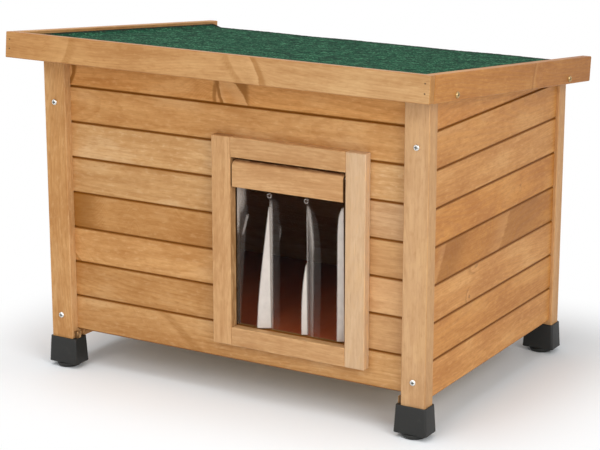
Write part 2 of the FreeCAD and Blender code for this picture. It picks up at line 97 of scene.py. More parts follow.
def grid_quads(rows: int, columns: int, wrap_rows: bool = False, wrap_columns: bool = False) -> Array:
    """Quads of a grid whose points are numbered row by row.

    Args:
        rows: number of lines of points.
        columns: number of points in a line.
        wrap_rows: joins the last line to the first.
        wrap_columns: joins each line's last point to its first.

    Returns:
        Corner numbers, four to a face.
    """
    row = np.arange(rows if wrap_rows else rows - 1)[:, None]
    column = np.arange(columns if wrap_columns else columns - 1)[None, :]
    row_after = (row + 1) % rows
    column_after = (column + 1) % columns
    corners = (row * columns + column, row * columns + column_after,
               row_after * columns + column_after, row_after * columns + column)
    return np.stack(np.broadcast_arrays(*corners), -1).reshape(-1, 4)


def slab(front: Array, back: Array) -> Shell:
    """Closed thin solid between two grids of the same size.

    Each line of points runs along the front grid and returns along the back grid, so the lines are closed
    rings; the first and last rings are closed by strips of quads between their two runs.

    Args:
        front: points of the front surface, rows by columns by 3.
        back: points of the back surface, in the same order.

    Returns:
        The points and the quads.
    """
    rows, columns = front.shape[:2]
    points = np.concatenate([front, back[:, ::-1]], axis=1)
    ring = 2 * columns
    step = np.arange(columns - 1)
    lid = np.stack([step, step + 1, ring - 2 - step, ring - 1 - step], -1)
    faces = [grid_quads(rows, ring, wrap_columns=True), lid[:, ::-1], lid + (rows - 1) * ring]
    return points.reshape(-1, 3), np.concatenate(faces)


def lofted(rings: Array | list[Array], closed: bool = False) -> Shell:
    """Surface from each ring of points to the next, and from the last to the first where it is closed."""
    points = np.stack(rings)
    return points.reshape(-1, 3), grid_quads(*points.shape[:2], wrap_rows=closed, wrap_columns=True)


def all_round(values: Array | list[float], turns: int) -> Array:
    """A row for each value, the same at every point round an axis."""
    return np.repeat(np.asarray(values)[:, None], turns, axis=1)


def revolved(radius: Array, height: Array) -> Shell:
    """Closed surface of revolution about Z, from the pole of its first row to the pole of its last.

    A point at row i and angle t is (radius cos t, radius sin t, height).

    Args:
        radius: distance from the axis, rows by points round the axis.
        height: height along the axis, likewise.

    Returns:
        The points and the quads, with doubled points at the poles.
    """
    angle = np.linspace(0.0, 2.0 * math.pi, radius.shape[1], endpoint=False)
    return lofted(np.stack([radius * np.cos(angle), radius * np.sin(angle), height], -1))


def joined(shells: list[Shell]) -> Shell:
    """Several shells as one.

    Args:
        shells: the shells.

    Returns:
        All their points, and their faces renumbered to match.
    """
    counts = np.cumsum([0] + [len(points) for points, _ in shells[:-1]])
    faces = np.concatenate([face + start for (_, face), start in zip(shells, counts)])
    return np.concatenate([points for points, _ in shells]), faces


def turned(direction: Vector) -> Array:
    """Matrix of the turn that takes Z to a direction."""
    return np.array(direction.to_track_quat("Z", "Y").to_matrix())


def repeated(shell: Shell, seats: list[tuple[Vector, Vector]]) -> Shell:
    """A shell drawn about Z, put at each seat: a base and the direction that Z follows there."""
    points, faces = shell
    return joined([(points @ turned(out).T + np.array(base), faces) for base, out in seats])


def make_piece(name: str, shell: Shell, finish: bpy.types.Material, crease: float = 40.0) -> bpy.types.Object:
    """Mesh object at the origin, its doubled points merged and its faces turned outwards.

    Args:
        name: the piece's name.
        shell: points and faces.
        finish: its material.
        crease: edges that turn more than this many degrees stay sharp.

    Returns:
        The object, linked to the scene.
    """
    mesh = bpy.data.meshes.new(name)
    mesh.from_pydata(shell[0].tolist(), [], shell[1].tolist())
    shape = bmesh.new()
    shape.from_mesh(mesh)
    bmesh.ops.remove_doubles(shape, verts=shape.verts, dist=1e-6)
    bmesh.ops.recalc_face_normals(shape, faces=shape.faces)
    shape.to_mesh(mesh)
    shape.free()
    mesh.shade_smooth()
    mesh.set_sharp_from_angle(angle=math.radians(crease))
    mesh.materials.append(finish)
    piece = bpy.data.objects.new(name, mesh)
    bpy.context.scene.collection.objects.link(piece)
    LOG.info("made %s", name)
    return piece


def points_of(piece: bpy.types.Object) -> Array:
    """A piece's points.

    Args:
        piece: the piece.

    Returns:
        The points, one to a row.
    """
    flat = np.empty(len(piece.data.vertices) * 3, np.float32)
    piece.data.vertices.foreach_get("co", flat)
    return flat.reshape(-1, 3)


def write_layer(piece: bpy.types.Object, name: str, values: Array) -> None:
    """Gives each of a piece's points its value of an attribute."""
    layer = piece.data.attributes.new(name, "FLOAT", "POINT")
    layer.data.foreach_set("value", values.astype(np.float32))


def nodes_called(*starts: str) -> list[str]:
    """The CAD nodes whose names start so."""
    return [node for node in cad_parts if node.startswith(starts)]


def dress_node(node: str, finish: bpy.types.Material) -> None:
    """Gives a CAD node's material slots a finish.

    Args:
        node: the node.
        finish: its material.
    """
    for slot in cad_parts[node].material_slots:
        slot.material = finish
    LOG.info("dressed %s", node)


class Wire:
    """A node's output that sums can be written with; each sum adds a node to its graph."""

    def __init__(self, graph: "Graph", socket: bpy.types.NodeSocket) -> None:
        """Keeps the graph and the output."""
        self.graph, self.socket = graph, socket

    def __add__(self, other: "Term") -> "Wire":
        """This term and another."""
        return self.graph.math("ADD", self, other)

    def __sub__(self, other: "Term") -> "Wire":
        """This term less another."""
        return self.graph.math("SUBTRACT", self, other)

    def __rsub__(self, other: float) -> "Wire":
        """A number less this term."""
        return self.graph.math("SUBTRACT", other, self)

    def __mul__(self, other: "Term") -> "Wire":
        """This term times another."""
        return self.graph.math("MULTIPLY", self, other)

    def __truediv__(self, other: "Term") -> "Wire":
        """This term over another."""
        return self.graph.math("DIVIDE", self, other)

    def __abs__(self) -> "Wire":
        """This term without its sign."""
        return self.graph.math("ABSOLUTE", self)

    def step(self, low: "Term", high: "Term", start: float = 0.0, end: float = 1.0) -> "Wire":
        """Smooth step from start at low to end at high."""
        feeds = {"Value": self, "From Min": low, "From Max": high, "To Min": start, "To Max": end}
        return self.graph.out("ShaderNodeMapRange", "Result", feeds, interpolation_type="SMOOTHSTEP")


Term = Wire | float | tuple[float, ...]


class Graph:
    """A node tree that is being wired up."""

    def __init__(self, tree: bpy.types.NodeTree) -> None:
        """Keeps the tree that nodes are added to."""
        self.tree = tree

    def fill(self, node: bpy.types.Node, feeds: dict[str | int, Term]) -> None:
        """Links a node's inputs to wires, or sets their own values.

        Args:
            node: the node.
            feeds: what goes into its inputs, by name or number.
        """
        for key, value in feeds.items():
            if isinstance(value, Wire):
                self.tree.links.new(value.socket, node.inputs[key])
            else:
                node.inputs[key].default_value = value

    def new(self, kind: str, feeds: dict[str | int, Term], **settings: object) -> bpy.types.Node:
        """Adds a node.

        Args:
            kind: the node's type.
            feeds: what goes into its inputs.
            settings: its other properties.

        Returns:
            The node.
        """
        made = self.tree.nodes.new(kind)
        for name, value in settings.items():
            setattr(made, name, value)
        self.fill(made, feeds)
        return made

    def add(self, kind: str, feeds: dict[str | int, Term], **settings: object) -> list[Wire]:
        """Adds a node, as new does, and returns all its outputs."""
        return [Wire(self, socket) for socket in self.new(kind, feeds, **settings).outputs]

    def out(self, kind: str, output: str | int, feeds: dict[str | int, Term], **settings: object) -> Wire:
        """Adds a node, as new does, and returns one of its outputs."""
        return Wire(self, self.new(kind, feeds, **settings).outputs[output])

    def math(self, operation: str, *terms: Term) -> Wire:
        """Output of a sum on single numbers."""
        return self.out("ShaderNodeMath", 0, dict(enumerate(terms)), operation=operation)

    def vectors(self, operation: str, *terms: Term) -> Wire:
        """Output of a sum on vectors that gives a vector."""
        return self.out("ShaderNodeVectorMath", 0, dict(enumerate(terms)), operation=operation)

    def length(self, vector: Wire) -> Wire:
        """Length of a vector."""
        return self.out("ShaderNodeVectorMath", "Value", {0: vector}, operation="LENGTH")

    def vector(self, x: Term, y: Term, z: Term) -> Wire:
        """Three numbers as a vector."""
        return self.out("ShaderNodeCombineXYZ", 0, {0: x, 1: y, 2: z})

    def split(self, vector: Wire) -> list[Wire]:
        """A vector's three numbers."""
        return self.add("ShaderNodeSeparateXYZ", {0: vector})

    def mix(self, factor: Term, first: Term, second: Term, blend: str = "MIX") -> Wire:
        """One colour laid over another."""
        feeds = {0: factor, 6: first, 7: second}
        return self.out("ShaderNodeMix", 2, feeds, data_type="RGBA", blend_type=blend)

    def layers(self, base: Term, *coats: tuple[Term, Term]) -> Term:
        """Colours laid over a base one after another.

        Args:
            base: the lowest colour.
            coats: the cover and the colour of each coat.

        Returns:
            The colour that they give.
        """
        for cover, coat in coats:
            base = self.mix(cover, base, coat)
        return base

    def noise(self, vector: Wire, scale: float = 1.0, detail: float = 2.0, rough: float = 0.5) -> Wire:
        """Cloudy noise from 0 to 1."""
        feeds = {"Vector": vector, "Scale": scale, "Detail": detail, "Roughness": rough}
        return self.out("ShaderNodeTexNoise", 0, feeds)

    def place(self) -> Wire:
        """The point's place in the frame."""
        return self.out("ShaderNodeTexCoord", "Object", {})

    def attribute(self, name: str) -> Wire:
        """A mesh attribute's value."""
        return self.out("ShaderNodeAttribute", "Fac", {}, attribute_name=name)

    def bump(self, height: Wire, strength: float, depth: float) -> Wire:
        """Normal of a surface with that relief."""
        return self.out("ShaderNodeBump", 0, {"Height": height, "Strength": strength, "Distance": depth})

    def seen(self) -> Wire:
        """Tells the rays that show a surface from those that only light others.

        Returns:
            1 for rays from the camera, off gloss and through glass, and 0 for the rest.
        """
        rays = self.new("ShaderNodeLightPath", {}).outputs
        camera, gloss, glass = (Wire(self, rays["Is %s Ray" % kind]) for kind in ("Camera", "Glossy", "Transmission"))
        return self.math("MAXIMUM", camera, self.math("MAXIMUM", gloss, glass))


def new_group(name: str, inputs: list[str], outputs: list[str]) -> tuple[Graph, list[Wire], bpy.types.Node]:
    """Empty node group.

    Args:
        name: the group's name.
        inputs: names of its number inputs.
        outputs: names of its number outputs.

    Returns:
        Its graph, its inputs in order, and the node that takes its outputs.
    """
    tree = bpy.data.node_groups.new(name, "ShaderNodeTree")
    for labels, way in ((inputs, "INPUT"), (outputs, "OUTPUT")):
        for label in labels:
            tree.interface.new_socket(label, in_out=way, socket_type="NodeSocketFloat")
    graph = Graph(tree)
    entry = tree.nodes.new("NodeGroupInput")
    return graph, [Wire(graph, entry.outputs[label]) for label in inputs], tree.nodes.new("NodeGroupOutput")


def new_material(name: str) -> tuple[bpy.types.Material, Graph, bpy.types.Node]:
    """Node material with one Principled shader.

    Args:
        name: the material's name.

    Returns:
        The material, its graph and its shader node.
    """
    material = bpy.data.materials.new(name)
    material.use_nodes = True
    return material, Graph(material.node_tree), material.node_tree.nodes["Principled BSDF"]


class Grain(Enum):
    """Run of a board's fibres: the axes along it, across its face and through its thickness."""

    SIDEWAYS = (0, 2, 1)
    FRONT_TO_BACK = (1, 2, 0)
    UPRIGHT = (2, 0, 1)
    SIDEWAYS_FLAT = (0, 1, 2)
    FRONT_TO_BACK_FLAT = (1, 0, 2)


@dataclass(frozen=True)
class Knot:
    """A knot or flame in a board's face, in millimetres; across is from the middle of the board.

    Its outline is an ellipse that leans from upright by some degrees. A knot has a dark heart. A flame is dark
    outside its outline on one side, with a soft share of the outline as its edge, and fades over some shares more,
    or stops at a distance from the middle.
    """

    along: float
    across: float
    length: float
    width: float
    lean: float = 0.0
    heart: float = 0.0
    rim: float = 0.0
    side: float = 1.0
    course: int = 0
    soft: float = 0.08
    fade: float = 0.6
    stop: float = 1000.0

    def feeds(self) -> dict[str, float]:
        """What the knot group takes of it.

        Returns:
            A value for each of the group's own inputs, lengths in metres.
        """
        return {"At": self.along * MM, "Off": self.across * MM, "Length": self.length * MM, "Width": self.width * MM,
                "Lean": math.tan(math.radians(self.lean)), "Heart": self.heart, "Rim": self.rim, "Side": self.side,
                "Soft": self.soft, "Fade": self.fade, "Stop": self.stop * MM}


@dataclass(frozen=True)
class Courses:
    """Planks of a wall: lowest edge and pitch, and the tone of each from the bottom up."""

    bottom: float
    pitch: float
    tones: tuple[Tone, ...]


@dataclass(frozen=True)
class Board:
    """How the wood of one board looks, or that of all the planks of a wall.

    The seed makes its growth its own. A tone is a brightness and a warmth. Paleness is the share of the way to bare
    sapwood: the trim's own paler wood, and on the right-hand stile, post and offcut planks of the front partly painted
    sheen. Tilt is the slope of a roof board. Drift, flank and ends are what the tone becomes at the far end, on the
    sides and on both ends, as shares of the face's; some boards paint light and shade with them. Crown is the height
    of a painted shade along the top edge. Sawn is the place along it of a cut whose end is darkened as painted shade.
    Outside is the way through a wall to its jointed face.
    """

    grain: Grain
    seed: float = 0.0
    tone: Tone = (1.0, 0.0)
    pale_and_sheen: float = 0.0
    tilt: float = 0.0
    drift: Tone | None = None
    flank: Tone | None = None
    ends: Tone | None = None
    crown: float = 0.0
    sawn: float | None = None
    courses: Courses | None = None
    outside: float = 1.0
    knots: tuple[Knot, ...] = ()


@dataclass(frozen=True)
class WoodFinish:
    """Stained softwood: ring colours, and how its rings, fibres, seams and arrises show.

    Steps are the two ends of a range, in a noise or from an edge, and the cover at each of them.
    """

    early: Colour = srgb(208, 156, 98)
    late: Colour = srgb(166, 108, 50)
    heart: Colour = srgb(98, 58, 30)
    rim: Colour = srgb(140, 88, 30)
    seam: Colour = srgb(124, 71, 8)
    seam_steps: Steps = (0.6 * MM, 2.7 * MM, 0.95, 0.0)
    seam_inside: float = 0.15
    worn: Colour = srgb(222, 178, 126)
    bare: Colour = srgb(228, 196, 160)
    bare_late: Colour = srgb(206, 166, 124)
    underside: Colour | None = None
    arris: Colour = srgb(222, 178, 126)
    arris_steps: Steps = (0.4 * MM, 2.2 * MM, 1.0, 0.0)
    arris_breaks: Pair = (0.45, 0.7)
    arris_cover: Pair = (0.0, 0.6)
    inside: Tone = (0.8, -1.2)
    inside_depth: float = 2.0 * MM
    cut_end_shade: Tone = (0.1, 0.4)
    ring_spacing: float = 2.4 * MM
    ring_contrast: float = 0.24
    streaks: Steps = (0.3, 0.72, 0.0, 0.52)
    clouds: Steps = (0.5, 0.7, 0.0, 0.4)
    pale_clouds: Steps = (0.3, 0.46, 0.35, 0.0)
    mottles: Steps = (0.5, 0.72, 0.0, 0.32)
    pale_mottles: Steps = (0.28, 0.48, 0.32, 0.0)
    fibres: Steps = (0.45, 0.85, 0.0, 0.3)
    glow_cover: float = 0.4
    rim_cover: float = 0.85
    crown_shade_cover: float = 0.9
    sheen: float = 0.16
    roughness: float = 0.38
    fibre_roughness: float = 0.16
    late_gloss: float = 0.06
    relief: Pair = (0.25, 0.4 * MM)

    def paled(self, share: float) -> "WoodFinish":
        """The same wood, paler.

        Args:
            share: how far on the way to bare sapwood, from 0 to 1.

        Returns:
            The paler finish.
        """
        early, late = (tuple((np.array(stained) * (1.0 - share) + np.array(bare) * share).tolist())
                       for stained, bare in ((self.early, self.bare), (self.late, self.bare_late)))
        return replace(self, early=early, late=late, ring_contrast=self.ring_contrast * (1.0 - 0.3 * share))

    @staticmethod
    def tint(light: float, warm: float) -> Colour:
        """Colour to multiply by: a brightness, with less green and blue as it gets warmer."""
        return (light, light * (1.0 - 0.06 * warm), light * (1.0 - 0.17 * warm), 1.0)

    @staticmethod
    def growth() -> bpy.types.NodeTree:
        """Group that grows a board.

        The pith is a line along the board that wanders slowly with two noises. A point's age is its distance
        from the pith, roughened by a ripple and by the knots' bend, over the ring spacing. Each ring darkens
        slowly over its year and ends at once. Streaks, fibres, clouds and mottling are noises of other lengths.

        Returns:
            The group's tree.
        """
        found = bpy.data.node_groups.get("fir_growth")
        if found:
            return found
        graph, (along, across, through, board, bend, spacing), leaving = new_group(
            "fir_growth", ["Along", "Across", "Through", "Board", "Bend", "Spacing"],
            ["Late", "Streak", "Fibre", "Cloud", "Mottle"])
        far = board * 7.31

        def streaky(run: float, cross: float, detail: float = 2.0, rough: float = 0.5) -> Wire:
            """Noise with so many spots to the metre along the fibres and across them."""
            return graph.noise(graph.vector(along * run + far, across * cross, through * cross), 1.0, detail, rough)

        red, green, _ = graph.split(graph.out("ShaderNodeTexWhiteNoise", "Color", {"W": board}, noise_dimensions="1D"))
        slow = along * 2.4 + far
        walk, sway = (graph.noise(graph.vector(slow, far, layer), detail=1.0) for layer in (0.0, 5.0))
        beside = across - ((red - 0.5) * 0.11 + (walk - 0.5) * 0.07)
        behind = through - (green * 0.09 + sway * 0.05)
        ripple = (streaky(9.0, 50.0, 3.0) - 0.5) * 0.004
        radius = graph.length(graph.vector(beside, behind, 0.0)) + ripple + bend
        years = graph.noise(graph.vector(radius * 110.0, far, 2.0), detail=1.0)
        year = graph.math("FRACT", years * 2.2 + radius / spacing)
        graph.fill(leaving, {
            "Late": year.step(0.25, 0.9) * year.step(0.92, 1.0, 1.0, 0.0),
            "Streak": streaky(6.0, 95.0, 4.0, 0.72), "Fibre": streaky(45.0, 1300.0),
            "Cloud": streaky(11.0, 26.0), "Mottle": streaky(95.0, 230.0, 3.0, 0.6)})
        return graph.tree

    @staticmethod
    def knotting() -> bpy.types.NodeTree:
        """Group that adds one knot to a board.

        The knot's distance is that of a leaning ellipse, roughened by a noise, and is 1 on its outline. Rings
        bend away from it by a bell curve of that distance. Its heart darkens within a third of it. On one side
        the wood darkens outside the outline and fades out, and just inside it is paler, the more so the sharper
        its edge.

        Returns:
            The group's tree.
        """
        found = bpy.data.node_groups.get("fir_knot")
        if found:
            return found
        marks = ["Bend", "Core", "Edge", "Glow"]
        names = ["Along", "Across", "Here", "At", "Off", "Length", "Width", "Lean", "Heart", "Rim", "Side", "Soft",
                 "Fade", "Stop"]
        graph, entry, leaving = new_group("fir_knot", names + marks, marks)
        (along, across, here, at, off, length, width, lean, heart, rim, side, soft, fade, stop,
         bend, *before) = entry
        rise, ahead = across - off, along - at
        run = ahead - rise * lean
        long, wide = run / length, rise / width
        square = long * long + wide * wide
        rough = (graph.noise(graph.vector(run * 90.0, rise * 160.0, 0.0), detail=3.0) - 0.5) * 0.3
        away = graph.math("SQRT", square) + rough
        swell = graph.math("EXPONENT", square * -1.3) * here * width
        outer = soft + 1.0
        facing = rim * (long * side).step(-0.1, 0.5)
        dark = away.step(1.0, outer) * away.step(fade * 0.4 + outer, outer + fade, 1.0, 0.0) * facing
        edge = dark * (stop - ahead * side).step(0.0, 0.008) * here
        core = away.step(0.2, 0.42, 1.0, 0.0) * heart * here
        glow = away.step(0.35, 0.95) * away.step(1.0, outer, 1.0, 0.0) * facing * (here * (1.0 - soft))
        graph.fill(leaving, {"Bend": bend + swell} | {
            mark: graph.math("MAXIMUM", old, new) for mark, old, new in zip(marks[1:], before, (core, edge, glow))})
        return graph.tree

    @staticmethod
    def shading(graph: Graph, index: Term, board: Board) -> Term:
        """Tint of a board, or of each plank of a wall.

        Args:
            graph: the material's graph.
            index: number of the plank.
            board: how the wood looks.

        Returns:
            A colour to multiply by.
        """
        if not board.courses:
            return WoodFinish.tint(*board.tone)
        tones = board.courses.tones
        ramp = graph.new("ShaderNodeValToRGB", {0: (index + 0.5) / len(tones)})
        ramp.color_ramp.interpolation = "CONSTANT"
        stops = ramp.color_ramp.elements
        for number, tone in enumerate(tones):
            stop = stops[number] if number < 2 else stops.new(number / len(tones))
            stop.position = number / len(tones)
            stop.color = WoodFinish.tint(*tone)
        return Wire(graph, ramp.outputs[0])

    def material(self, name: str, box: Box, board: Board) -> bpy.types.Material:
        """Material of one board, or of all the planks of a wall.

        Args:
            name: the material's name.
            box: lowest and highest corners of the board.
            board: how the wood looks.

        Returns:
            The material.
        """
        material, graph, shader = new_material(name)
        middle, reach = (box[0] + box[1]) / 2, (box[1] - box[0]) / 2
        run, rise, deep = board.grain.value
        place = graph.place()
        if board.tilt:
            place = graph.out("ShaderNodeMapping", 0, {"Vector": place, "Rotation": (board.tilt, 0.0, 0.0)})
            level = Vector((0.0, math.cos(board.tilt), -math.sin(board.tilt)))
            middle.rotate(level.rotation_difference(Vector((0.0, 1.0, 0.0))))
        axes = graph.split(place)
        along, across, through = axes[run], axes[rise], axes[deep]
        depth = through - middle[deep]
        if board.courses:
            course = (across - board.courses.bottom) / board.courses.pitch
            index = graph.math("FLOOR", course)
            number = index + board.seed
            local, half = (course - index - 0.5) * board.courses.pitch, board.courses.pitch / 2
        else:
            index, number = 0.0, board.seed
            local, half = across - middle[rise], reach[rise]
        marks = dict.fromkeys(("Bend", "Core", "Edge", "Glow"), 0.0)
        for knot in board.knots:
            here = graph.math("COMPARE", index, knot.course, 0.5)
            feeds = {"Along": along, "Across": local, "Here": here} | knot.feeds() | marks
            marks = dict(zip(marks, graph.add("ShaderNodeGroup", feeds, node_tree=self.knotting())))
        feeds = {"Along": along, "Across": local, "Through": depth, "Board": number, "Bend": marks["Bend"],
                 "Spacing": self.ring_spacing}
        late, streak, fibre, cloud, mottle = graph.add("ShaderNodeGroup", feeds, node_tree=self.growth())
        colour = graph.layers(
            self.early, (late * self.ring_contrast, self.late), (streak.step(*self.streaks), self.late),
            (cloud.step(*self.clouds), self.late), (cloud.step(*self.pale_clouds), self.worn),
            (mottle.step(*self.mottles), self.late), (mottle.step(*self.pale_mottles), self.worn),
            (fibre.step(*self.fibres), self.rim))
        colour = graph.mix(1.0, colour, self.shading(graph, index, board), "MULTIPLY")

        def toned(cover: Wire, tone: Tone) -> Wire:
            """The colour so far, in another tone where it is covered."""
            return graph.mix(cover, colour, graph.mix(1.0, colour, self.tint(*tone), "MULTIPLY"))

        if board.drift:
            colour = toned(along.step(box[0][run], box[1][run]), board.drift)
        if board.flank:
            colour = toned((depth + reach[deep]).step(*SKIN), board.flank)
        if board.ends:
            colour = toned((reach[run] - abs(along - middle[run])).step(*SKIN, 1.0, 0.0), board.ends)
        # The crown darkens the board under its top edge in the heart colour: painted shade.
        if board.crown:
            dark = (half - local).step(0.1 * board.crown, board.crown, self.crown_shade_cover, 0.0)
            colour = graph.mix(dark, colour, self.heart)
        if board.knots:
            colour = graph.layers(colour, (marks["Glow"] * self.glow_cover, self.worn),
                                  (marks["Edge"] * self.rim_cover, self.rim), (marks["Core"], self.heart))
        if self.underside:
            colour = graph.mix(depth.step(-1.0 * MM, 1.0 * MM), self.underside, colour)
        inset = half - abs(local)
        if board.courses:
            outward = depth * board.outside
            # The planks' inside faces are tinted darker and less warm: painted shade of the closed interior.
            colour = toned(outward.step(-self.inside_depth, 0.0, 1.0, 0.0), self.inside)
            shown = outward.step(-self.inside_depth, 0.0, self.seam_inside, 1.0)
            colour = graph.mix(inset.step(*self.seam_steps) * shown, colour, self.seam)
        else:
            broken = graph.noise(graph.vector(along * 60.0, across * 300.0, through * 300.0), detail=3.0)
            rubbed = inset.step(*self.arris_steps) * broken.step(*self.arris_breaks, *self.arris_cover)
            colour = graph.mix(rubbed, colour, self.arris)
        # A cut end at the doorway is darkened: painted shade in the reveal.
        if board.sawn is not None:
            colour = toned(abs(along - board.sawn).step(*SKIN, 1.0, 0.0), self.cut_end_shade)
        graph.fill(shader, {
            "Base Color": colour, "Specular IOR Level": self.sheen,
            "Roughness": late * -self.late_gloss + (fibre * self.fibre_roughness + self.roughness),
            "Normal": graph.bump(fibre * 0.5 + late * 0.5, *self.relief)})
        return material

    def dress(self, boards: dict[str, Board]) -> None:
        """Gives each node its own board."""
        for node, board in boards.items():
            dress_node(node, self.paled(board.pale_and_sheen).material("fir_" + node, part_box(node), board))


@dataclass(frozen=True)
class FeltFinish:
    """Green-granuled roofing felt, its margins darkened as painted shadow; steps are as in the wood's."""

    deep: Colour = srgb(9, 40, 28)
    green: Colour = srgb(34, 92, 65)
    pale: Colour = srgb(88, 142, 108)
    gap_shade: Colour = srgb(26, 24, 18)
    granule: float = 2.1 * MM
    left_margin: float = 8.0 * MM
    rear_margin: float = 12.0 * MM
    front_margin: float = 5.0 * MM
    ragged: float = 30.0 * MM
    gap_shade_cover: float = 0.85
    pale_granules: Steps = (0.78, 0.93, 0.0, 0.75)
    blotches: Steps = (0.5, 0.68, 0.0, 0.5)
    dark_grains: Steps = (0.52, 0.66, 0.0, 0.65)
    dark_specks: Steps = (0.54, 0.6, 0.0, 0.9)
    pale_specks: Steps = (0.36, 0.42, 0.5, 0.0)
    roughness: float = 0.92
    sheen: float = 0.1
    relief: Pair = (0.7, 0.7 * MM)

    def material(self) -> bpy.types.Material:
        """Granule-sized cells, each its own green, with blotches, worn specks and margins darkened as painted shadow.

        Returns:
            The material.
        """
        material, graph, shader = new_material("mineral_felt")
        place = graph.place()
        cells = graph.new("ShaderNodeTexVoronoi", {"Vector": place, "Scale": 1.0 / self.granule}).outputs
        tone, odd, _ = graph.split(Wire(graph, cells["Color"]))
        blotch = graph.noise(place, 38.0, 3.0, 0.6)
        fine = graph.noise(place, 260.0)
        bald = graph.noise(place, 75.0, 4.0, 0.75)
        colour = graph.layers(
            self.deep, (tone, self.green), (odd.step(*self.pale_granules), self.pale),
            (blotch.step(*self.blotches), self.deep), (fine.step(*self.dark_grains), self.deep),
            (bald.step(*self.dark_specks), self.deep), (bald.step(*self.pale_specks), self.pale))
        uneven = (bald - 0.5) * self.ragged
        low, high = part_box("roof_felt")
        x, y, _ = graph.split(place)
        # The margins along the left board, the rear and the fascia are darkened: painted shadow of the gaps there.
        for inset, margin in ((x - low.x, self.left_margin), (high.y - y, self.rear_margin),
                              (y - low.y, self.front_margin)):
            colour = graph.mix((inset + uneven).step(0.6 * margin, margin, self.gap_shade_cover, 0.0), colour, self.gap_shade)
        relief = 1.0 - Wire(graph, cells["Distance"])
        graph.fill(shader, {"Base Color": colour, "Roughness": self.roughness, "Specular IOR Level": self.sheen,
                            "Normal": graph.bump(relief, *self.relief)})
        return material


@dataclass(frozen=True)
class PlasticFinish:
    """Black moulded plastic with a fine spark-eroded skin."""

    black: Colour = srgb(28, 28, 26)
    scuffed: Colour = srgb(47, 47, 43)
    scuffs: Steps = (0.55, 0.8, 0.0, 0.7)
    scuff_roughness: float = 0.2
    roughness: float = 0.4
    sheen: float = 0.4
    relief: Pair = (0.3, 0.2 * MM)

    def material(self) -> bpy.types.Material:
        """Near black, with a fine grain in its skin and greyer scuffs.

        Returns:
            The material.
        """
        material, graph, shader = new_material("black_plastic")
        place = graph.place()
        scuff = graph.noise(place, 90.0, 4.0, 0.65)
        graph.fill(shader, {
            "Base Color": graph.mix(scuff.step(*self.scuffs), self.black, self.scuffed),
            "Roughness": scuff * self.scuff_roughness + self.roughness, "Specular IOR Level": self.sheen,
            "Normal": graph.bump(graph.noise(place, 1500.0), *self.relief)})
        return material


@dataclass(frozen=True)
class ZincFinish:
    """Bright zinc plating."""

    name: str = "zinc_steel"
    bright: Colour = srgb(236, 236, 233)
    dull: Colour = srgb(190, 190, 186)
    roughness: float = 0.22
    dirt_and_recess_shade: Colour = srgb(104, 106, 98)
    spangles: Pair = (0.45, 0.7)
    spangle_roughness: float = 0.25
    relief: Pair = (0.12, 0.1 * MM)

    def material(self) -> bpy.types.Material:
        """Bright metal with duller spangles and fine scratches, its recesses darkened from a point attribute,
        which is grime and painted shade.

        Returns:
            The material.
        """
        material, graph, shader = new_material(self.name)
        place = graph.place()
        spangle = graph.noise(place, 700.0, 3.0, 0.6)
        plating = graph.mix(spangle.step(*self.spangles), self.bright, self.dull)
        graph.fill(shader, {
            "Base Color": graph.mix(graph.attribute("grime_and_shade"), plating, self.dirt_and_recess_shade), "Metallic": 1.0,
            "Roughness": spangle * self.spangle_roughness + self.roughness,
            "Normal": graph.bump(graph.noise(place, 2600.0, 1.0), *self.relief)})
        return material


@dataclass(frozen=True)
class ClearFinish:
    """Thin clear flexible sheet, with painted reflections and highlights laid on as whitish patches."""

    smoke: Colour = srgb(14, 11, 10)
    painted_glare: Colour = srgb(208, 198, 189)
    film: float = 0.08
    haze: Steps = (0.1, 0.7, 0.85, 1.0)
    glare_onset: Pair = (0.0, 0.08)
    roughness: float = 0.06
    glare_roughness: float = 0.3
    sheen: float = 0.3

    def material(self) -> bpy.types.Material:
        """Nearly see-through film, whitish and opaque where its cloud attribute paints reflections and highlights.

        Returns:
            The material.
        """
        material, graph, shader = new_material("clear_pvc")
        cloud = graph.attribute("cloud")
        painted_glare = cloud * graph.noise(graph.place(), 120.0, 3.0).step(*self.haze)
        graph.fill(shader, {
            "Base Color": graph.mix(painted_glare.step(*self.glare_onset), self.smoke, self.painted_glare),
            "Alpha": painted_glare * (1.0 - self.film) + self.film, "Specular IOR Level": self.sheen,
            "Roughness": cloud * self.glare_roughness + self.roughness})
        return material


@dataclass
class Finishes:
    """The house's finishes, made once."""

    fir: WoodFinish = WoodFinish()
    floor: WoodFinish = WoodFinish(early=srgb(232, 114, 62), late=srgb(208, 95, 52), worn=srgb(232, 126, 80),
                                   underside=srgb(196, 172, 140), ring_spacing=9.0 * MM, roughness=0.42)
    deck: WoodFinish = WoodFinish(early=srgb(214, 184, 142), late=srgb(186, 148, 100), ring_spacing=8.0 * MM)
    felt: bpy.types.Material = field(default_factory=FeltFinish().material)
    plastic: bpy.types.Material = field(default_factory=PlasticFinish().material)
    zinc: bpy.types.Material = field(default_factory=ZincFinish().material)
    hinge: bpy.types.Material = field(
        default_factory=ZincFinish("hinge_zinc", srgb(182, 184, 182), srgb(138, 140, 138), 0.32).material)
    nail: bpy.types.Material = field(
        default_factory=ZincFinish("nail_steel", srgb(120, 96, 72), srgb(84, 62, 44)).material)
    yellow_zinc: bpy.types.Material = field(
        default_factory=ZincFinish("yellow_zinc", srgb(188, 160, 112), srgb(126, 98, 60)).material)
    clear: bpy.types.Material = field(default_factory=ClearFinish().material)


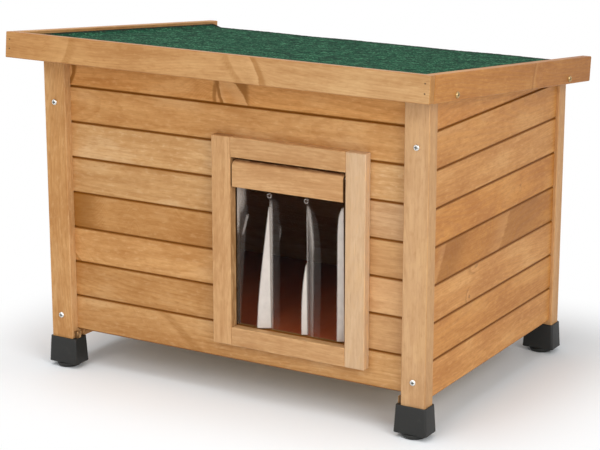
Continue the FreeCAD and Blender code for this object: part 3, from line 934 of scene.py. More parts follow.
# Each plank has its own tone. The top front course's tone is also raised, partly as painted light against the fascia's
# shadow, and the side walls' planks are warmer than the front's, painted shade against their paler sheen.
FRONT_COURSES = Courses(49.0 * MM, 44.4 * MM, (
    (0.925, -0.2), (0.87, 0.4), (1.01, -0.1), (0.86, 0.8), (0.945, -1.1), (1.06, -1.9), (0.97, 0.35), (1.07, 1.3)))
SIDE_COURSES = Courses(44.0 * MM, 44.4 * MM, (
    (1.05, 1.6), (0.96, 2.4), (1.01, 1.5), (0.84, 3.1), (0.95, 2.7), (0.98, 1.3), (0.94, 1.7), (1.02, 1.9)))


@dataclass
class Cabin:
    """Plank walls, posts, battens, floor and door trim, all on their CAD solids."""

    finishes: Finishes
    # The front's drift pales its planks towards the right: painted sheen.
    front: Board = Board(Grain.SIDEWAYS, 3.0, outside=-1.0, courses=FRONT_COURSES, drift=(1.02, -0.7), knots=(
        Knot(-15.3, -20, 36.6, 30, -16.8, 0, 1, 1, 7, 0.08, 3, 43),
        Knot(0.4, -22, 10, 30, -23, 0, 1, -1, 7, 0.12, 0.5),
        Knot(-11, -24, 8, 20, -8, 0, 0.8, -1, 7, 0.3, 0.6),
        Knot(-239, -8, 8, 12, 20, 0, 1, 1, 7, 0.2, 0.8),
        Knot(-224, -9, 9, 16, -35, 0, 0.5, -1, 2),
        Knot(-99, -3, 16, 34, -50, 0, 0.35, 1, 0, 0.6, 0.9),
        Knot(-70, -21, 6, 4, 0, 0.5, 0.2, 1, 0),
        Knot(-140, 0, 40, 90, 0, 0, 0.9, -1, 3, 1, 4)))
    # The planks right of the doorway are paler: partly their own wood, partly painted sheen.
    offcut: Board = Board(Grain.SIDEWAYS, 203.0, pale_and_sheen=0.28, outside=-1.0, courses=FRONT_COURSES)
    rear: Board = Board(Grain.SIDEWAYS, 23.0, courses=FRONT_COURSES, knots=(
        Knot(-130, 5, 10, 8, 0, 0.7, 0.4, 1, 4),
        Knot(60, -8, 30, 40, -25, 0, 0.5, 1, 2, 0.12, 1.6),
        Knot(170, 6, 7, 5, 0, 0.6, 0.3, -1, 5),
        Knot(-20, 2, 20, 30, 30, 0, 0.45, -1, 0, 0.12, 1.2)))
    left: Board = Board(Grain.FRONT_TO_BACK, 43.0, outside=-1.0, courses=SIDE_COURSES, knots=(
        Knot(-70, 4, 9, 7, 0, 0.7, 0.4, 1, 5),
        Knot(60, -4, 40, 50, 25, 0, 0.45, 1, 2, 0.12, 1.8),
        Knot(10, 8, 6, 5, 0, 0.6, 0.3, 1, 1)))
    right: Board = Board(Grain.FRONT_TO_BACK, 64.0, courses=SIDE_COURSES, knots=(
        Knot(-28, -1, 60, 60, 33, 0, 0.42, 1, 3, 0.12, 2.2),
        Knot(-167, 2, 30, 50, 31, 0, 0.5, 1, 3, 0.2, 2.4),
        Knot(75.4, 1, 3, 6, 0, 0.5, 0.3, 1, 4),
        Knot(-61, -15, 7, 8, 0, 0.5, 0.4, -1, 2),
        Knot(-44, 18, 14, 6, 0, 0.35, 0.3, -1, 2)))
    upright: Board = Board(Grain.UPRIGHT, 110.0, (0.95, 0.3), 0.2)
    uprights: dict[str, Board] = field(default_factory=lambda: {
        # The flanks tone the posts' side faces apart from their fronts: painted light and shade. The right post's
        # paleness is partly painted sheen.
        "post_front_left": Board(Grain.UPRIGHT, tone=(0.96, 0.2), pale_and_sheen=0.05, flank=(1.1, -2.2)),
        "post_front_right": Board(Grain.UPRIGHT, tone=(0.865, 0.0), pale_and_sheen=0.4, flank=(0.95, 1.1))})
    upright_arris: Pair = (0.0, 0.2)
    trim: dict[str, Board] = field(default_factory=lambda: {
        # The left stile's flank darkens its side face in the doorway's reveal: painted shade. The right stile's
        # paleness is partly painted sheen.
        "door_stile_left": Board(Grain.UPRIGHT, 130.0, (0.93, 0.1), 0.26, flank=(0.74, 0.9)),
        "door_stile_right": Board(Grain.UPRIGHT, 131.0, (0.86, 0.0), 0.85),
        "door_head_rail": Board(Grain.SIDEWAYS, 132.0, (0.88, 0.0), 0.2),
        "door_bottom_rail": Board(Grain.SIDEWAYS, 133.0, (0.88, 0.1), 0.25),
        "floor_batten_front": Board(Grain.SIDEWAYS, 95.0),
        "floor_batten_rear": Board(Grain.SIDEWAYS, 96.0)})
    # The floor's drift darkens it towards the rear, from a line behind the doorway: painted shade of the closed
    # interior.
    floor: Board = Board(Grain.FRONT_TO_BACK_FLAT, 90.0, (1.05, 0.0), drift=(0.3, 0.0))
    floor_shade_from: float = 100.0 * MM

    def dress(self) -> None:
        """Gives every board of the cabin its wood."""
        fir = self.finishes.fir
        walls = {"front_plank": self.front, "rear_wall": self.rear, "left_wall": self.left, "right_wall": self.right}
        for start, board in walls.items():
            nodes = nodes_called(start)
            wood = fir.material("fir_" + start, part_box(nodes[0]), board)
            for node in nodes:
                dress_node(node, wood)
        self.dress_offcuts()
        names = sorted(nodes_called("post_front", "post_rear", "batten_"))
        replace(fir, arris_cover=self.upright_arris).dress({
            node: replace(self.uprights.get(node, self.upright), seed=self.upright.seed + number)
            for number, node in enumerate(names)})
        fir.dress(self.trim)
        low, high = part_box("floor_panel")
        lit = low + Vector((0.0, self.floor_shade_from, 0.0))
        dress_node("floor_panel", self.finishes.floor.material("stained_floor", (lit, high), self.floor))

    def dress_offcuts(self) -> None:
        """Front planks cut at the doorway: sawn ends on its left darkened as painted shade, and paler wood on its
        right that is partly painted sheen.
        """
        fir = self.finishes.fir
        nodes = nodes_called("front_plank")
        cut = replace(self.front, sawn=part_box("front_plank_2_left")[1].x)
        sawn = fir.material("fir_front_plank_sawn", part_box(nodes[0]), cut)
        pale = fir.paled(self.offcut.pale_and_sheen).material("fir_front_offcut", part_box("front_plank_1"), self.offcut)
        for ending, wood in (("_left", sawn), ("_right", pale)):
            for node in nodes:
                if node.endswith(ending):
                    dress_node(node, wood)


@dataclass
class RoofLid:
    """Fascia, side boards, battens and deck on their solids, and the felt laid on the deck."""

    finishes: Finishes
    arris: Colour = srgb(164, 108, 56)
    arris_cover: Pair = (0.5, 0.9)
    boards: dict[str, Board] = field(default_factory=lambda: {
        # The fascia's drift pales it towards its right: painted sheen. Its ends darken and warm its end faces: painted
        # shade against their pale sheen.
        "roof_fascia": Board(
            Grain.SIDEWAYS, 150.0, (0.8, 1.5), 0.2, PITCH, drift=(1.02, -2.3), ends=(0.89, 3.0), knots=(
                Knot(52, 4, 14, 24, -32, 0, 0.6, 1, 0, 0.15, 0.6),
                Knot(56, 0, 15, 26, -38, 0, 0.3, -1, 0, 0.2, 0.8),
                Knot(-208, 4, 14, 24, 12, 0, 0.3, 1, 0, 0.2, 0.9))),
        "roof_board_left": Board(Grain.FRONT_TO_BACK, 151.0, (0.88, 0.8), 0.1, PITCH, knots=(
            Knot(-40, 3, 8, 6, 0, 0.6, 0.5),)),
        "roof_board_right": Board(Grain.FRONT_TO_BACK, 152.0, (0.83, 2.8), 0.0, PITCH, drift=(0.8, 1.6), knots=(
            Knot(20, 0, 10, 26, 10, 0, 0.5, -1, 0, 0.3, 0.4),)),
        "roof_batten_front": Board(Grain.SIDEWAYS, 153.0, (0.95, 0.3), 0.2, PITCH),
        "roof_batten_rear": Board(Grain.SIDEWAYS, 154.0, (0.95, 0.3), 0.2, PITCH)})
    deck: Board = Board(Grain.SIDEWAYS_FLAT, 170.0, tilt=PITCH)
    felt_columns: int = 190
    felt_rows: int = 145
    felt_seed: int = 7
    felt_thick: float = 2.0 * MM
    felt_edge: float = 1.6 * MM
    felt_wave: float = 0.5 * MM
    felt_tooth: float = 0.35 * MM
    felt_turn_up: float = 3.4 * MM
    fascia_height: float = 31.0 * MM
    nail_radius: float = 1.1 * MM
    nail_height: float = 0.35 * MM
    nail_shank: Pair = (-6.0 * MM, -7.0 * MM)
    nail_inset: float = 6.0 * MM
    nail_drops: Pair = (9.0 * MM, 20.0 * MM)
    nail_turns: int = 20

    def dress(self) -> None:
        """Wood of the boards, battens and deck."""
        replace(self.finishes.fir, arris=self.arris, arris_cover=self.arris_cover).dress(self.boards)
        dress_node("roof_deck", self.finishes.deck.material("deck_ply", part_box("roof_deck"), self.deck))

    def build(self) -> None:
        """Felt and fascia nails."""
        self.lay_felt()
        self.drive_nails()

    def lay_felt(self) -> None:
        """Felt as a thin solid over a grid of the deck.

        Its edges stop short of the boards by an uneven amount, made of sines of three lengths. Its top lies a
        wave and a tooth of sines and seeded noise under the solid's top, and its underside is flat on the deck.
        Along the two side boards both turn up.
        """
        low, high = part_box("roof_felt")
        thick, sine, cosine = self.felt_thick, math.sin(PITCH), math.cos(PITCH)
        run = (high.y - low.y - thick * sine) / cosine
        across = np.linspace(0.0, 1.0, self.felt_columns)[None, :]
        down = np.linspace(0.0, 1.0, self.felt_rows)[:, None]

        def uneven(along: Array, phase: float) -> Array:
            """Edge gap along a side: a mean with three sines on it."""
            waves = np.sin(9.0 * along + phase) + 0.7 * np.sin(23.0 * along + 2.1 * phase)
            return self.felt_edge * (1.0 + 0.35 * waves + 0.25 * np.sin(61.0 * along + phase))

        left = low.x + 0.5 * uneven(down, 0.4)
        right = high.x - 0.5 * uneven(down, 1.9)
        x = left + (right - left) * across
        start = 0.4 * uneven(across, 3.0)
        end = run - 0.3 * uneven(across, 4.2)
        u = start + (end - start) * down
        wave = np.sin(31.0 * x + 2.0) * np.sin(24.0 * u + 0.7) + 0.6 * np.sin(57.0 * x - 40.0 * u)
        tooth = np.random.default_rng(self.felt_seed).random(x.shape)
        rim = np.minimum(np.minimum(across, 1.0 - across), np.minimum(down, 1.0 - down) + 0.02 * (down > 0.5))
        sink = self.felt_wave * (0.8 + 0.5 * wave) + self.felt_tooth * tooth
        sink = np.clip(sink, 0.0, thick * 0.7) * smooth(rim, -0.01, 0.03)
        turn_up = self.felt_turn_up * (smooth(-across, -0.03, 0.0) + smooth(across, 0.97, 1.0))

        def on_slope(depth: Array) -> Array:
            """Points at a depth square to the slope under the solid's top."""
            y = low.y + thick * sine + u * cosine - depth * sine
            return np.stack([x, y, high.z - u * sine - depth * cosine], -1)

        shell = slab(on_slope(sink - turn_up), on_slope(thick - turn_up))
        piece = make_piece("felt", shell, self.finishes.felt, crease=60.0)
        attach(piece, "roof")
        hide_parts("roof_felt")

    def drive_nails(self) -> None:
        """Round nail heads at the ends of the fascia, as low domes on short shanks."""
        low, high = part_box("roof_fascia")
        sine, cosine = math.sin(PITCH), math.cos(PITCH)
        turn = np.linspace(0.0, QUARTER, 7)
        radius = [*(self.nail_radius * np.sin(turn)), 0.5 * self.nail_radius, 0.5 * self.nail_radius, 0.0]
        height = [*(self.nail_height * np.cos(turn)), 0.0, *self.nail_shank]
        nail = revolved(all_round(radius, self.nail_turns), all_round(height, self.nail_turns))
        top = low.y + self.fascia_height * sine
        seats = [(Vector((x, top - drop * sine, high.z - drop * cosine)), Vector((0.0, -cosine, -sine)))
                 for x in (low.x + self.nail_inset, high.x - self.nail_inset) for drop in self.nail_drops]
        piece = make_piece("fascia_nails", repeated(nail, seats), self.finishes.nail)
        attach(piece, "roof")


@dataclass(frozen=True)
class Crease:
    """A painted highlight along a crease down a strip, in shares of the width and of the drop.

    A tail of it may run on to the foot.
    """

    from_side: float
    from_drop: float
    to_side: float
    to_drop: float
    bow: float
    width: float
    cloud: float
    tail: float = 0.0

    def painted_glare(self, s: Array, drop: Array) -> Array:
        """How much painted highlight it puts at each point: a bell curve about a bowed line.

        Args:
            s: the points' places across the strip, as shares.
            drop: their places down it, as shares.

        Returns:
            A cloud from 0 to 1 for each point.
        """
        share = np.clip((drop - self.from_drop) / (self.to_drop - self.from_drop), 0.0, 1.0)
        line = self.from_side + (self.to_side - self.from_side) * (1.0 - (1.0 - share) ** self.bow)
        bright = self.cloud * np.exp(-((s - line) / self.width) ** 2) * smooth(share, 0.0, 0.15)
        return bright * (self.tail + (1.0 - self.tail) * smooth(1.0 - share, 0.0, 0.3))


@dataclass(frozen=True)
class Strip:
    """A strip of the flap and where painted reflections whiten it; widths are shares of it, cloud goes from 0 to 1."""

    name: str
    lip_width: float
    lip_start: float
    lip_round: float
    band_top: float
    band_foot: float
    band_round: float
    band_glare: float
    band_hard: float
    creases: tuple[Crease, ...]

    def painted_glare(self, s: Array, drop: Array) -> Array:
        """How much painted reflection whitens the strip at each point, apart from its holes.

        The lip, a painted reflection, is a wedge down one edge: its width is 1 less a power of what is left of the
        drop. The band, a fainter painted reflection, lies at the other edge, widens from the hole in the same way,
        and thins out evenly or ends in a hard line. The creases' painted highlights lie over both.

        Args:
            s: the points' places across the strip, as shares.
            drop: their places down it, as shares.

        Returns:
            A cloud from 0 to 1 for each point.
        """
        below = np.clip((drop - (1.0 - self.lip_start)) / self.lip_start, 0.0, 1.0)
        lip_width = self.lip_width * (1.0 - (1.0 - below) ** self.lip_round)
        lip = smooth(s - (1.0 - lip_width), -0.015, 0.02) * smooth(below, 0.0, 0.04)
        band_width = (self.band_top + (self.band_foot - self.band_top) * drop)
        band_width = np.maximum(band_width * (1.0 - (1.0 - drop) ** self.band_round), 1e-4)
        inner = np.clip(1.0 - s / band_width, 0.0, 1.0)
        band = self.band_glare * (inner * (1.0 - self.band_hard) + smooth(inner, 0.0, 0.1) * self.band_hard)
        return np.maximum.reduce([0.95 * lip, band, *(crease.painted_glare(s, drop) for crease in self.creases)])


@dataclass
class Flap:
    """Pivoting bar and, hung behind it, the clear sheet as three strips; the pins are on their solid."""

    finishes: Finishes
    # Lips, bands, creases and hole rings whiten the strips as painted reflections and highlights.
    strips: tuple[Strip, ...] = (
        Strip("left", 0.32, 0.93, 1.5, 0.36, 0.16, 40.0, 0.04, 0.7, (
            Crease(0.35, 0.15, 0.16, 0.34, 1.0, 0.028, 0.2), Crease(0.02, -0.4, 0.02, 0.2, 1.0, 0.16, 0.5),
            Crease(0.02, -0.3, 0.01, 0.36, 1.0, 0.05, 0.6), Crease(0.1, 0.3, 0.06, 0.6, 1.0, 0.06, 0.03, 0.6))),
        Strip("middle", 0.12, 0.54, 3.0, 0.3, 0.3, 40.0, 0.026, 0.8, (
            Crease(0.3, 0.2, 0.3, 0.32, 1.0, 0.02, 0.06), Crease(0.03, 0.0, 0.02, 0.9, 1.0, 0.038, 0.34, 0.7))),
        Strip("right", 0.15, 1.0, 18.0, 0.42, 0.42, 9.0, 0.028, 0.8, (
            Crease(0.02, 0.02, 0.17, 0.4, 2.0, 0.035, 0.28, 0.35), Crease(0.36, 0.3, 0.38, 0.5, 1.0, 0.03, 0.03, 1.0),
            Crease(0.02, 0.02, 0.13, 0.4, 2.0, 0.09, 0.08, 0.8), Crease(0.01, 0.0, 0.01, 1.0, 1.0, 0.02, 0.2, 0.8))),
    )
    rows: int = 110
    columns: int = 64
    slit: float = 0.8 * MM
    hole: float = 1.7 * MM
    hole_ring: float = 0.4 * MM
    hole_glare: float = 0.36
    hinge_room: float = 5.0 * MM
    hairline: float = 0.03 * MM
    curl: float = 7.0 * MM
    waver: float = 0.5 * MM
    left_lead: float = 1.5 * MM
    # The bar's ends darken its end faces and its crown darkens under its top edge: painted shade of the gaps round the
    # bar.
    bar: Board = Board(Grain.SIDEWAYS, 182.0, (0.93, 0.0), 0.25, ends=(0.3, 1.0), crown=3.6 * MM)
    bar_corner: float = 4.0 * MM
    bar_arris: float = 1.0 * MM
    bar_ease: float = 0.6 * MM
    bar_steps: int = 14

    def dress(self) -> None:
        """Zinc on the bar's pins."""
        dress_node("flap_pins", self.finishes.zinc)

    def build(self) -> None:
        """The bar, and the three strips, the first of them with the sheet's head."""
        self.make_bar()
        for number, strip in enumerate(self.strips):
            self.hang(strip, number)

    def make_bar(self) -> None:
        """Pivot bar: a board with a round crown, its upper corners rounded off.

        Along the bar runs x, closer at the ends. Its top falls towards each end along a quarter circle of the
        corner's radius, and its face falls back along one of the arris's radius. Up each side runs the flat of
        the board, and then a quarter turn of the crown.
        """
        low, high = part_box("flap_bar")
        half, middle = (high.y - low.y) / 2, (low.y + high.y) / 2
        turn = np.linspace(0.0, QUARTER, self.bar_steps)
        near = self.bar_corner * (1.0 - np.cos(turn))
        x = np.concatenate([low.x + near, np.linspace(low.x, high.x, 12)[1:-1], high.x - near[::-1]])
        tip = np.minimum(x - low.x, high.x - x)

        def fall(radius: float) -> Array:
            """Fall of a quarter circle of that radius at each point along the bar."""
            return radius - np.sqrt(radius ** 2 - np.clip(radius - tip, 0.0, radius) ** 2)

        crown = high.z - fall(self.bar_corner) - half
        depth = half - fall(self.bar_arris)
        rise = self.bar_ease * np.array([0.0, 1.0, 3.0, 8.0])[:, None]
        tuck = self.bar_ease * np.array([1.0, 0.0, 0.0, 0.0])[:, None]
        z = np.concatenate([low.z + rise + 0.0 * crown, crown + half * np.sin(turn)[:, None]])
        out = np.concatenate([depth - tuck, depth * np.cos(turn)[:, None]])
        across = np.broadcast_to(x, z.shape)
        shell = slab(*(np.stack([across, middle + way * out, z], -1) for way in (-1.0, 1.0)))
        wood = self.finishes.fir.paled(self.bar.pale_and_sheen).material("fir_flap_bar", (low, high), self.bar)
        piece = make_piece("pivot_bar", shell, wood, crease=35.0)
        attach(piece, "flap")
        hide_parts("flap_bar")

    def hang(self, strip: Strip, number: int) -> None:
        """Hangs one strip.

        Across the strip runs s from 0 to 1, closer at the edges, and down it runs z. Its edges stand half a slit
        off the slit's middle below the relief hole, round half of the hole, and a hairline off it above. It bows
        to the front along a parabola in s that grows with the drop below the hole, and wavers a little. The first
        strip's outer edge leads to the front instead.

        Args:
            strip: the strip.
            number: its place from the left.
        """
        node = "flap_strip_" + strip.name
        low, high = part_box(node)
        head_low, head_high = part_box("flap_sheet_head")
        slit_z, hole = high.z, self.hole
        last = len(self.strips) - 1
        z = np.concatenate([np.linspace(head_high.z, slit_z + 2.0 * hole, 24),
                            np.linspace(slit_z + 1.9 * hole, slit_z - 1.2 * hole, 22),
                            np.linspace(slit_z - 2.0 * hole, low.z, self.rows)])[:, None]
        s = 0.5 - 0.5 * np.cos(np.linspace(0.0, math.pi, self.columns))[None, :]
        round_hole = np.sqrt(np.clip(hole ** 2 - (z - slit_z) ** 2, 0.0, None))
        notch = np.maximum(round_hole, np.where(z > slit_z, self.hairline, self.slit / 2)) - self.slit / 2
        left = low.x + (0.0 if number == 0 else notch)
        right = high.x - (0.0 if number == last else notch)
        x = left + (right - left) * s
        drop = np.clip((slit_z - z) / (slit_z - low.z), 0.0, 1.0)
        curl = self.curl * drop
        free = 1.0 - s if number == 0 else 0.0
        edge = head_low.y + (1.0 - free) * curl / 2 - free * self.left_lead * drop
        bow = 4.0 * curl * s * (1.0 - s)
        waver = self.waver * drop * np.sin(7.0 * drop + 2.0 * number) * np.sin(math.pi * s)
        front = np.stack(np.broadcast_arrays(x, edge - bow + waver, z), -1)
        back = front + np.array([0.0, head_high.y - head_low.y, 0.0])
        piece = make_piece("strip_" + strip.name, slab(front, back), self.finishes.clear, crease=50.0)
        self.cloud(piece, strip, (low, high), [low.x] * (number > 0) + [high.x] * (number < last))
        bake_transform(piece)
        nodes = [node, "flap_sheet_head"] if number == 0 else [node]
        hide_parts(*nodes)

    def cloud(self, piece: bpy.types.Object, strip: Strip, box: Box, holes: list[float]) -> None:
        """Writes how much painted reflection whitens the strip at each point; each relief hole has a painted highlight
        ring as a bell curve about it.

        Args:
            piece: the strip's piece.
            strip: the strip.
            box: lowest and highest corners of its solid.
            holes: where across the flap the holes beside it are.
        """
        low, high = box
        x, _, z = points_of(piece).T
        painted_glare = strip.painted_glare((x - low.x) / (high.x - low.x), np.clip((high.z - z) / (high.z - low.z), 0.0, 1.0))
        for hole in holes:
            away = np.hypot(x - hole, z - high.z) - self.hole - self.hole_ring
            painted_glare = np.maximum(painted_glare, self.hole_glare * np.exp(-(away / self.hole_ring) ** 2))
        write_layer(piece, "cloud", painted_glare)


@dataclass
class Legs:
    """Plastic caps on the legs, packing strips standing in them and screw-in feet under them."""

    finishes: Finishes
    corner_points: int = 9
    flare: float = 1.6 * MM
    corner: float = 3.0 * MM
    rim: float = 0.8 * MM
    bore: float = 5.3 * MM
    socket_floor: float = 5.0 * MM
    socket_drop: float = 0.3 * MM
    socket_corner: float = 0.4 * MM
    slack: float = 0.2 * MM
    # The packing strip's dark tone is painted shade of the narrow gap beside the post.
    packing: Board = Board(Grain.UPRIGHT, 141.0, (0.26, 0.2))
    packing_size: tuple[float, float, float] = (5.4 * MM, 7.0 * MM, 8.5 * MM)
    packing_setback: float = 4.0 * MM
    packing_ease: float = 1.2 * MM
    packing_corner: float = 0.3 * MM
    pad_top: float = 5.4 * MM
    foot_bowl: float = 3.8 * MM
    foot_lip: float = 0.8 * MM
    stem: float = 5.0 * MM
    stem_turns: int = 48
    thread_pitch: float = 1.75 * MM
    thread_depth: float = 0.5 * MM
    thread_rows: int = 8

    def build(self) -> None:
        """A cap, a packing strip and a foot at each corner."""
        for name in CORNERS:
            self.make_cap(name)
            self.make_packing(name)
            self.make_foot(name)

    def ring(self, centre: Vector, half: Vector, radius: float, z: float, tuck: float = 0.0) -> Array:
        """Rounded rectangle: four quarter circles about the corners' centres.

        Args:
            centre: middle of the rectangle.
            half: half its width and depth.
            radius: of its corners; where it is also half the width and depth, the ring is a circle.
            z: its height.
            tuck: how far its sides stand in.

        Returns:
            The ring's points.
        """
        quarter = np.linspace(0.0, QUARTER, self.corner_points)
        angle = (quarter[None, :] + np.arange(4)[:, None] * QUARTER).ravel()
        sign_x = np.repeat([1.0, -1.0, -1.0, 1.0], self.corner_points)
        sign_y = np.repeat([1.0, 1.0, -1.0, -1.0], self.corner_points)
        x = centre.x + sign_x * (half.x - tuck - radius) + radius * np.cos(angle)
        y = centre.y + sign_y * (half.y - tuck - radius) + radius * np.sin(angle)
        return np.stack([x, y, np.full_like(x, z)], -1)

    def make_cap(self, name: str) -> None:
        """Cap: rings carried up its flared outside, over its rounded rim, down the socket and the bore.

        Args:
            name: the corner.
        """
        low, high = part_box("cap_" + name)
        post_low, post_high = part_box("post_" + name)
        centre, half = (low + high) / 2, (high - low) / 2
        post = (post_low + post_high) / 2
        socket = (post_high - post_low) / 2 + Vector((self.slack, self.slack, 0.0))
        bore = Vector((self.bore, self.bore, 0.0))
        turn = np.linspace(0.0, QUARTER, 5)
        sine, cosine = self.rim * (1.0 - np.sin(turn)), self.rim * (1.0 - np.cos(turn))
        sides = [*zip(sine, low.z + cosine),
                 *((self.flare * share, low.z + share * (high.z - low.z)) for share in (0.3, 0.6)),
                 *zip(self.flare + cosine, high.z - sine)]
        floor = low.z + self.socket_floor
        rings = [self.ring(centre, bore, self.bore, low.z),
                 *(self.ring(centre, half, self.corner, z, tuck) for tuck, z in sides),
                 self.ring(post, socket, self.socket_corner, high.z - self.socket_drop),
                 self.ring(post, socket, self.socket_corner, floor), self.ring(centre, bore, self.bore, floor)]
        piece = make_piece("leg_cap_" + name, lofted(rings, closed=True), self.finishes.plastic, crease=45.0)
        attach(piece, "cabin")
        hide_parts("cap_" + name)

    def make_packing(self, name: str) -> None:
        """Strip of wood beside the post, on the wide side of its cap: a rectangle carried up, eased on top.

        Args:
            name: the corner.
        """
        low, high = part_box("post_" + name)
        wide, deep, tall = self.packing_size
        inset = self.packing_setback + deep / 2
        centre = Vector((high.x + wide / 2 if name.endswith("left") else low.x - wide / 2,
                         low.y + inset if name.startswith("front") else high.y - inset, 0.0))
        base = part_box("cap_" + name)[1].z
        ease, corner, half = self.packing_ease, self.packing_corner, Vector((wide / 2, deep / 2, 0.0))
        levels = ((wide / 2, 0.0, 0.0), (0.0, corner, 0.0), (0.0, corner, tall - ease),
                  (0.3 * ease, corner, tall - 0.3 * ease), (ease, corner, tall), (wide / 2, 0.0, tall))
        shell = lofted([self.ring(centre, half, radius, base + rise, tuck) for tuck, radius, rise in levels])
        corners = Vector(shell[0].min(0)), Vector(shell[0].max(0))
        wood = self.finishes.fir.material("fir_leg_packing_" + name, corners, self.packing)
        piece = make_piece("leg_packing_" + name, shell, wood)
        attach(piece, "cabin")

    def make_foot(self, name: str) -> None:
        """Foot: a round pad with a bowl-shaped edge and a threaded stem.

        The stem's radius at height z and angle t is its core plus a triangle wave of z over the pitch less t
        over a full turn, and it fades out at the pad.

        Args:
            name: the corner.
        """
        low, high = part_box("foot_" + name)
        pad, top, stem, turns = (high.x - low.x) / 2, self.pad_top, self.stem, self.stem_turns
        bowl, lip = self.foot_bowl, self.foot_lip
        roll = np.linspace(0.0, QUARTER, 6)
        pad_radius = np.concatenate([[0.0, pad - 2 * bowl], pad - bowl + bowl * np.sin(roll),
                                     pad - lip + lip * np.cos(roll), [stem * 1.3, stem]])
        pad_height = np.concatenate([[0.0, 0.0], bowl - bowl * np.cos(roll),
                                     top - lip + lip * np.sin(roll), [top, top]])
        rows = self.thread_rows * round((high.z - top) / self.thread_pitch)
        z = all_round(np.linspace(top, high.z, rows), turns)
        phase = (z / self.thread_pitch - np.linspace(0.0, 1.0, turns, endpoint=False)) % 1.0
        depth = self.thread_depth * smooth(z, top + 0.5 * MM, top + 2.0 * MM)
        radius = np.concatenate([all_round(pad_radius, turns), stem - depth * np.abs(2.0 * phase - 1.0),
                                 all_round([0.0], turns)])
        height = np.concatenate([all_round(pad_height, turns), z, all_round([high.z], turns)])
        points, faces = revolved(radius, height)
        middle = np.array([(low.x + high.x) / 2, (low.y + high.y) / 2, 0.0])
        piece = make_piece("screw_foot_" + name, (points + middle, faces), self.finishes.plastic, crease=50.0)
        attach(piece, "foot_" + name)
        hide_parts("foot_" + name)


@dataclass(frozen=True)
class ScrewShape:
    """Sizes of a cross-head screw: head, depth of its recess, length of its countersink, and shank.

    The slots of the recess, and how soft their edges are, are shares of the head's radius.
    """

    radius: float
    height: float
    recess: float
    sink: float
    shank: float
    length: float
    turns: int = 64
    slot_width: float = 0.14
    slot_length: float = 0.56
    slot_soft: float = 0.05

    def cross(self, x: Array, y: Array) -> Array:
        """Recess in the head: the larger of two bars, each a product of smooth steps.

        Args:
            x: the points' places across the head.
            y: the points' places up the head.

        Returns:
            A share of the recess's depth for each point.
        """
        wide, long, soft = (share * self.radius for share in (self.slot_width, self.slot_length, self.slot_soft))
        bars = [smooth(-np.abs(a), -wide - soft, -wide + soft) * smooth(-np.abs(b), -long - soft, -long + soft)
                for a, b in ((x, y), (y, x))]
        return np.maximum(*bars)

    def shell(self) -> Shell:
        """The screw about Z, its head's seat at the origin.

        The head's height over radius r is the head's height times the root of 1 less (r over R) to the fourth,
        less the cross-shaped recess.

        Returns:
            Points and faces.
        """
        share = np.concatenate([np.linspace(0.0, 0.9, 26), np.sin(np.linspace(1.13, QUARTER, 8))])
        angle = np.linspace(0.0, 2.0 * math.pi, self.turns, endpoint=False)
        head = all_round(self.radius * share, self.turns)
        dome = all_round(self.height * np.sqrt(np.clip(1.0 - share ** 4, 0.0, 1.0)), self.turns)
        recess = self.recess * self.cross(head * np.cos(angle), head * np.sin(angle))
        under = [self.shank, self.shank, 0.4 * self.shank, 0.0]
        depth = [-self.sink, -self.length * 0.88, -self.length, -self.length]
        return revolved(np.concatenate([head, all_round(under, self.turns)]),
                        np.concatenate([dome - recess, all_round(depth, self.turns)]))


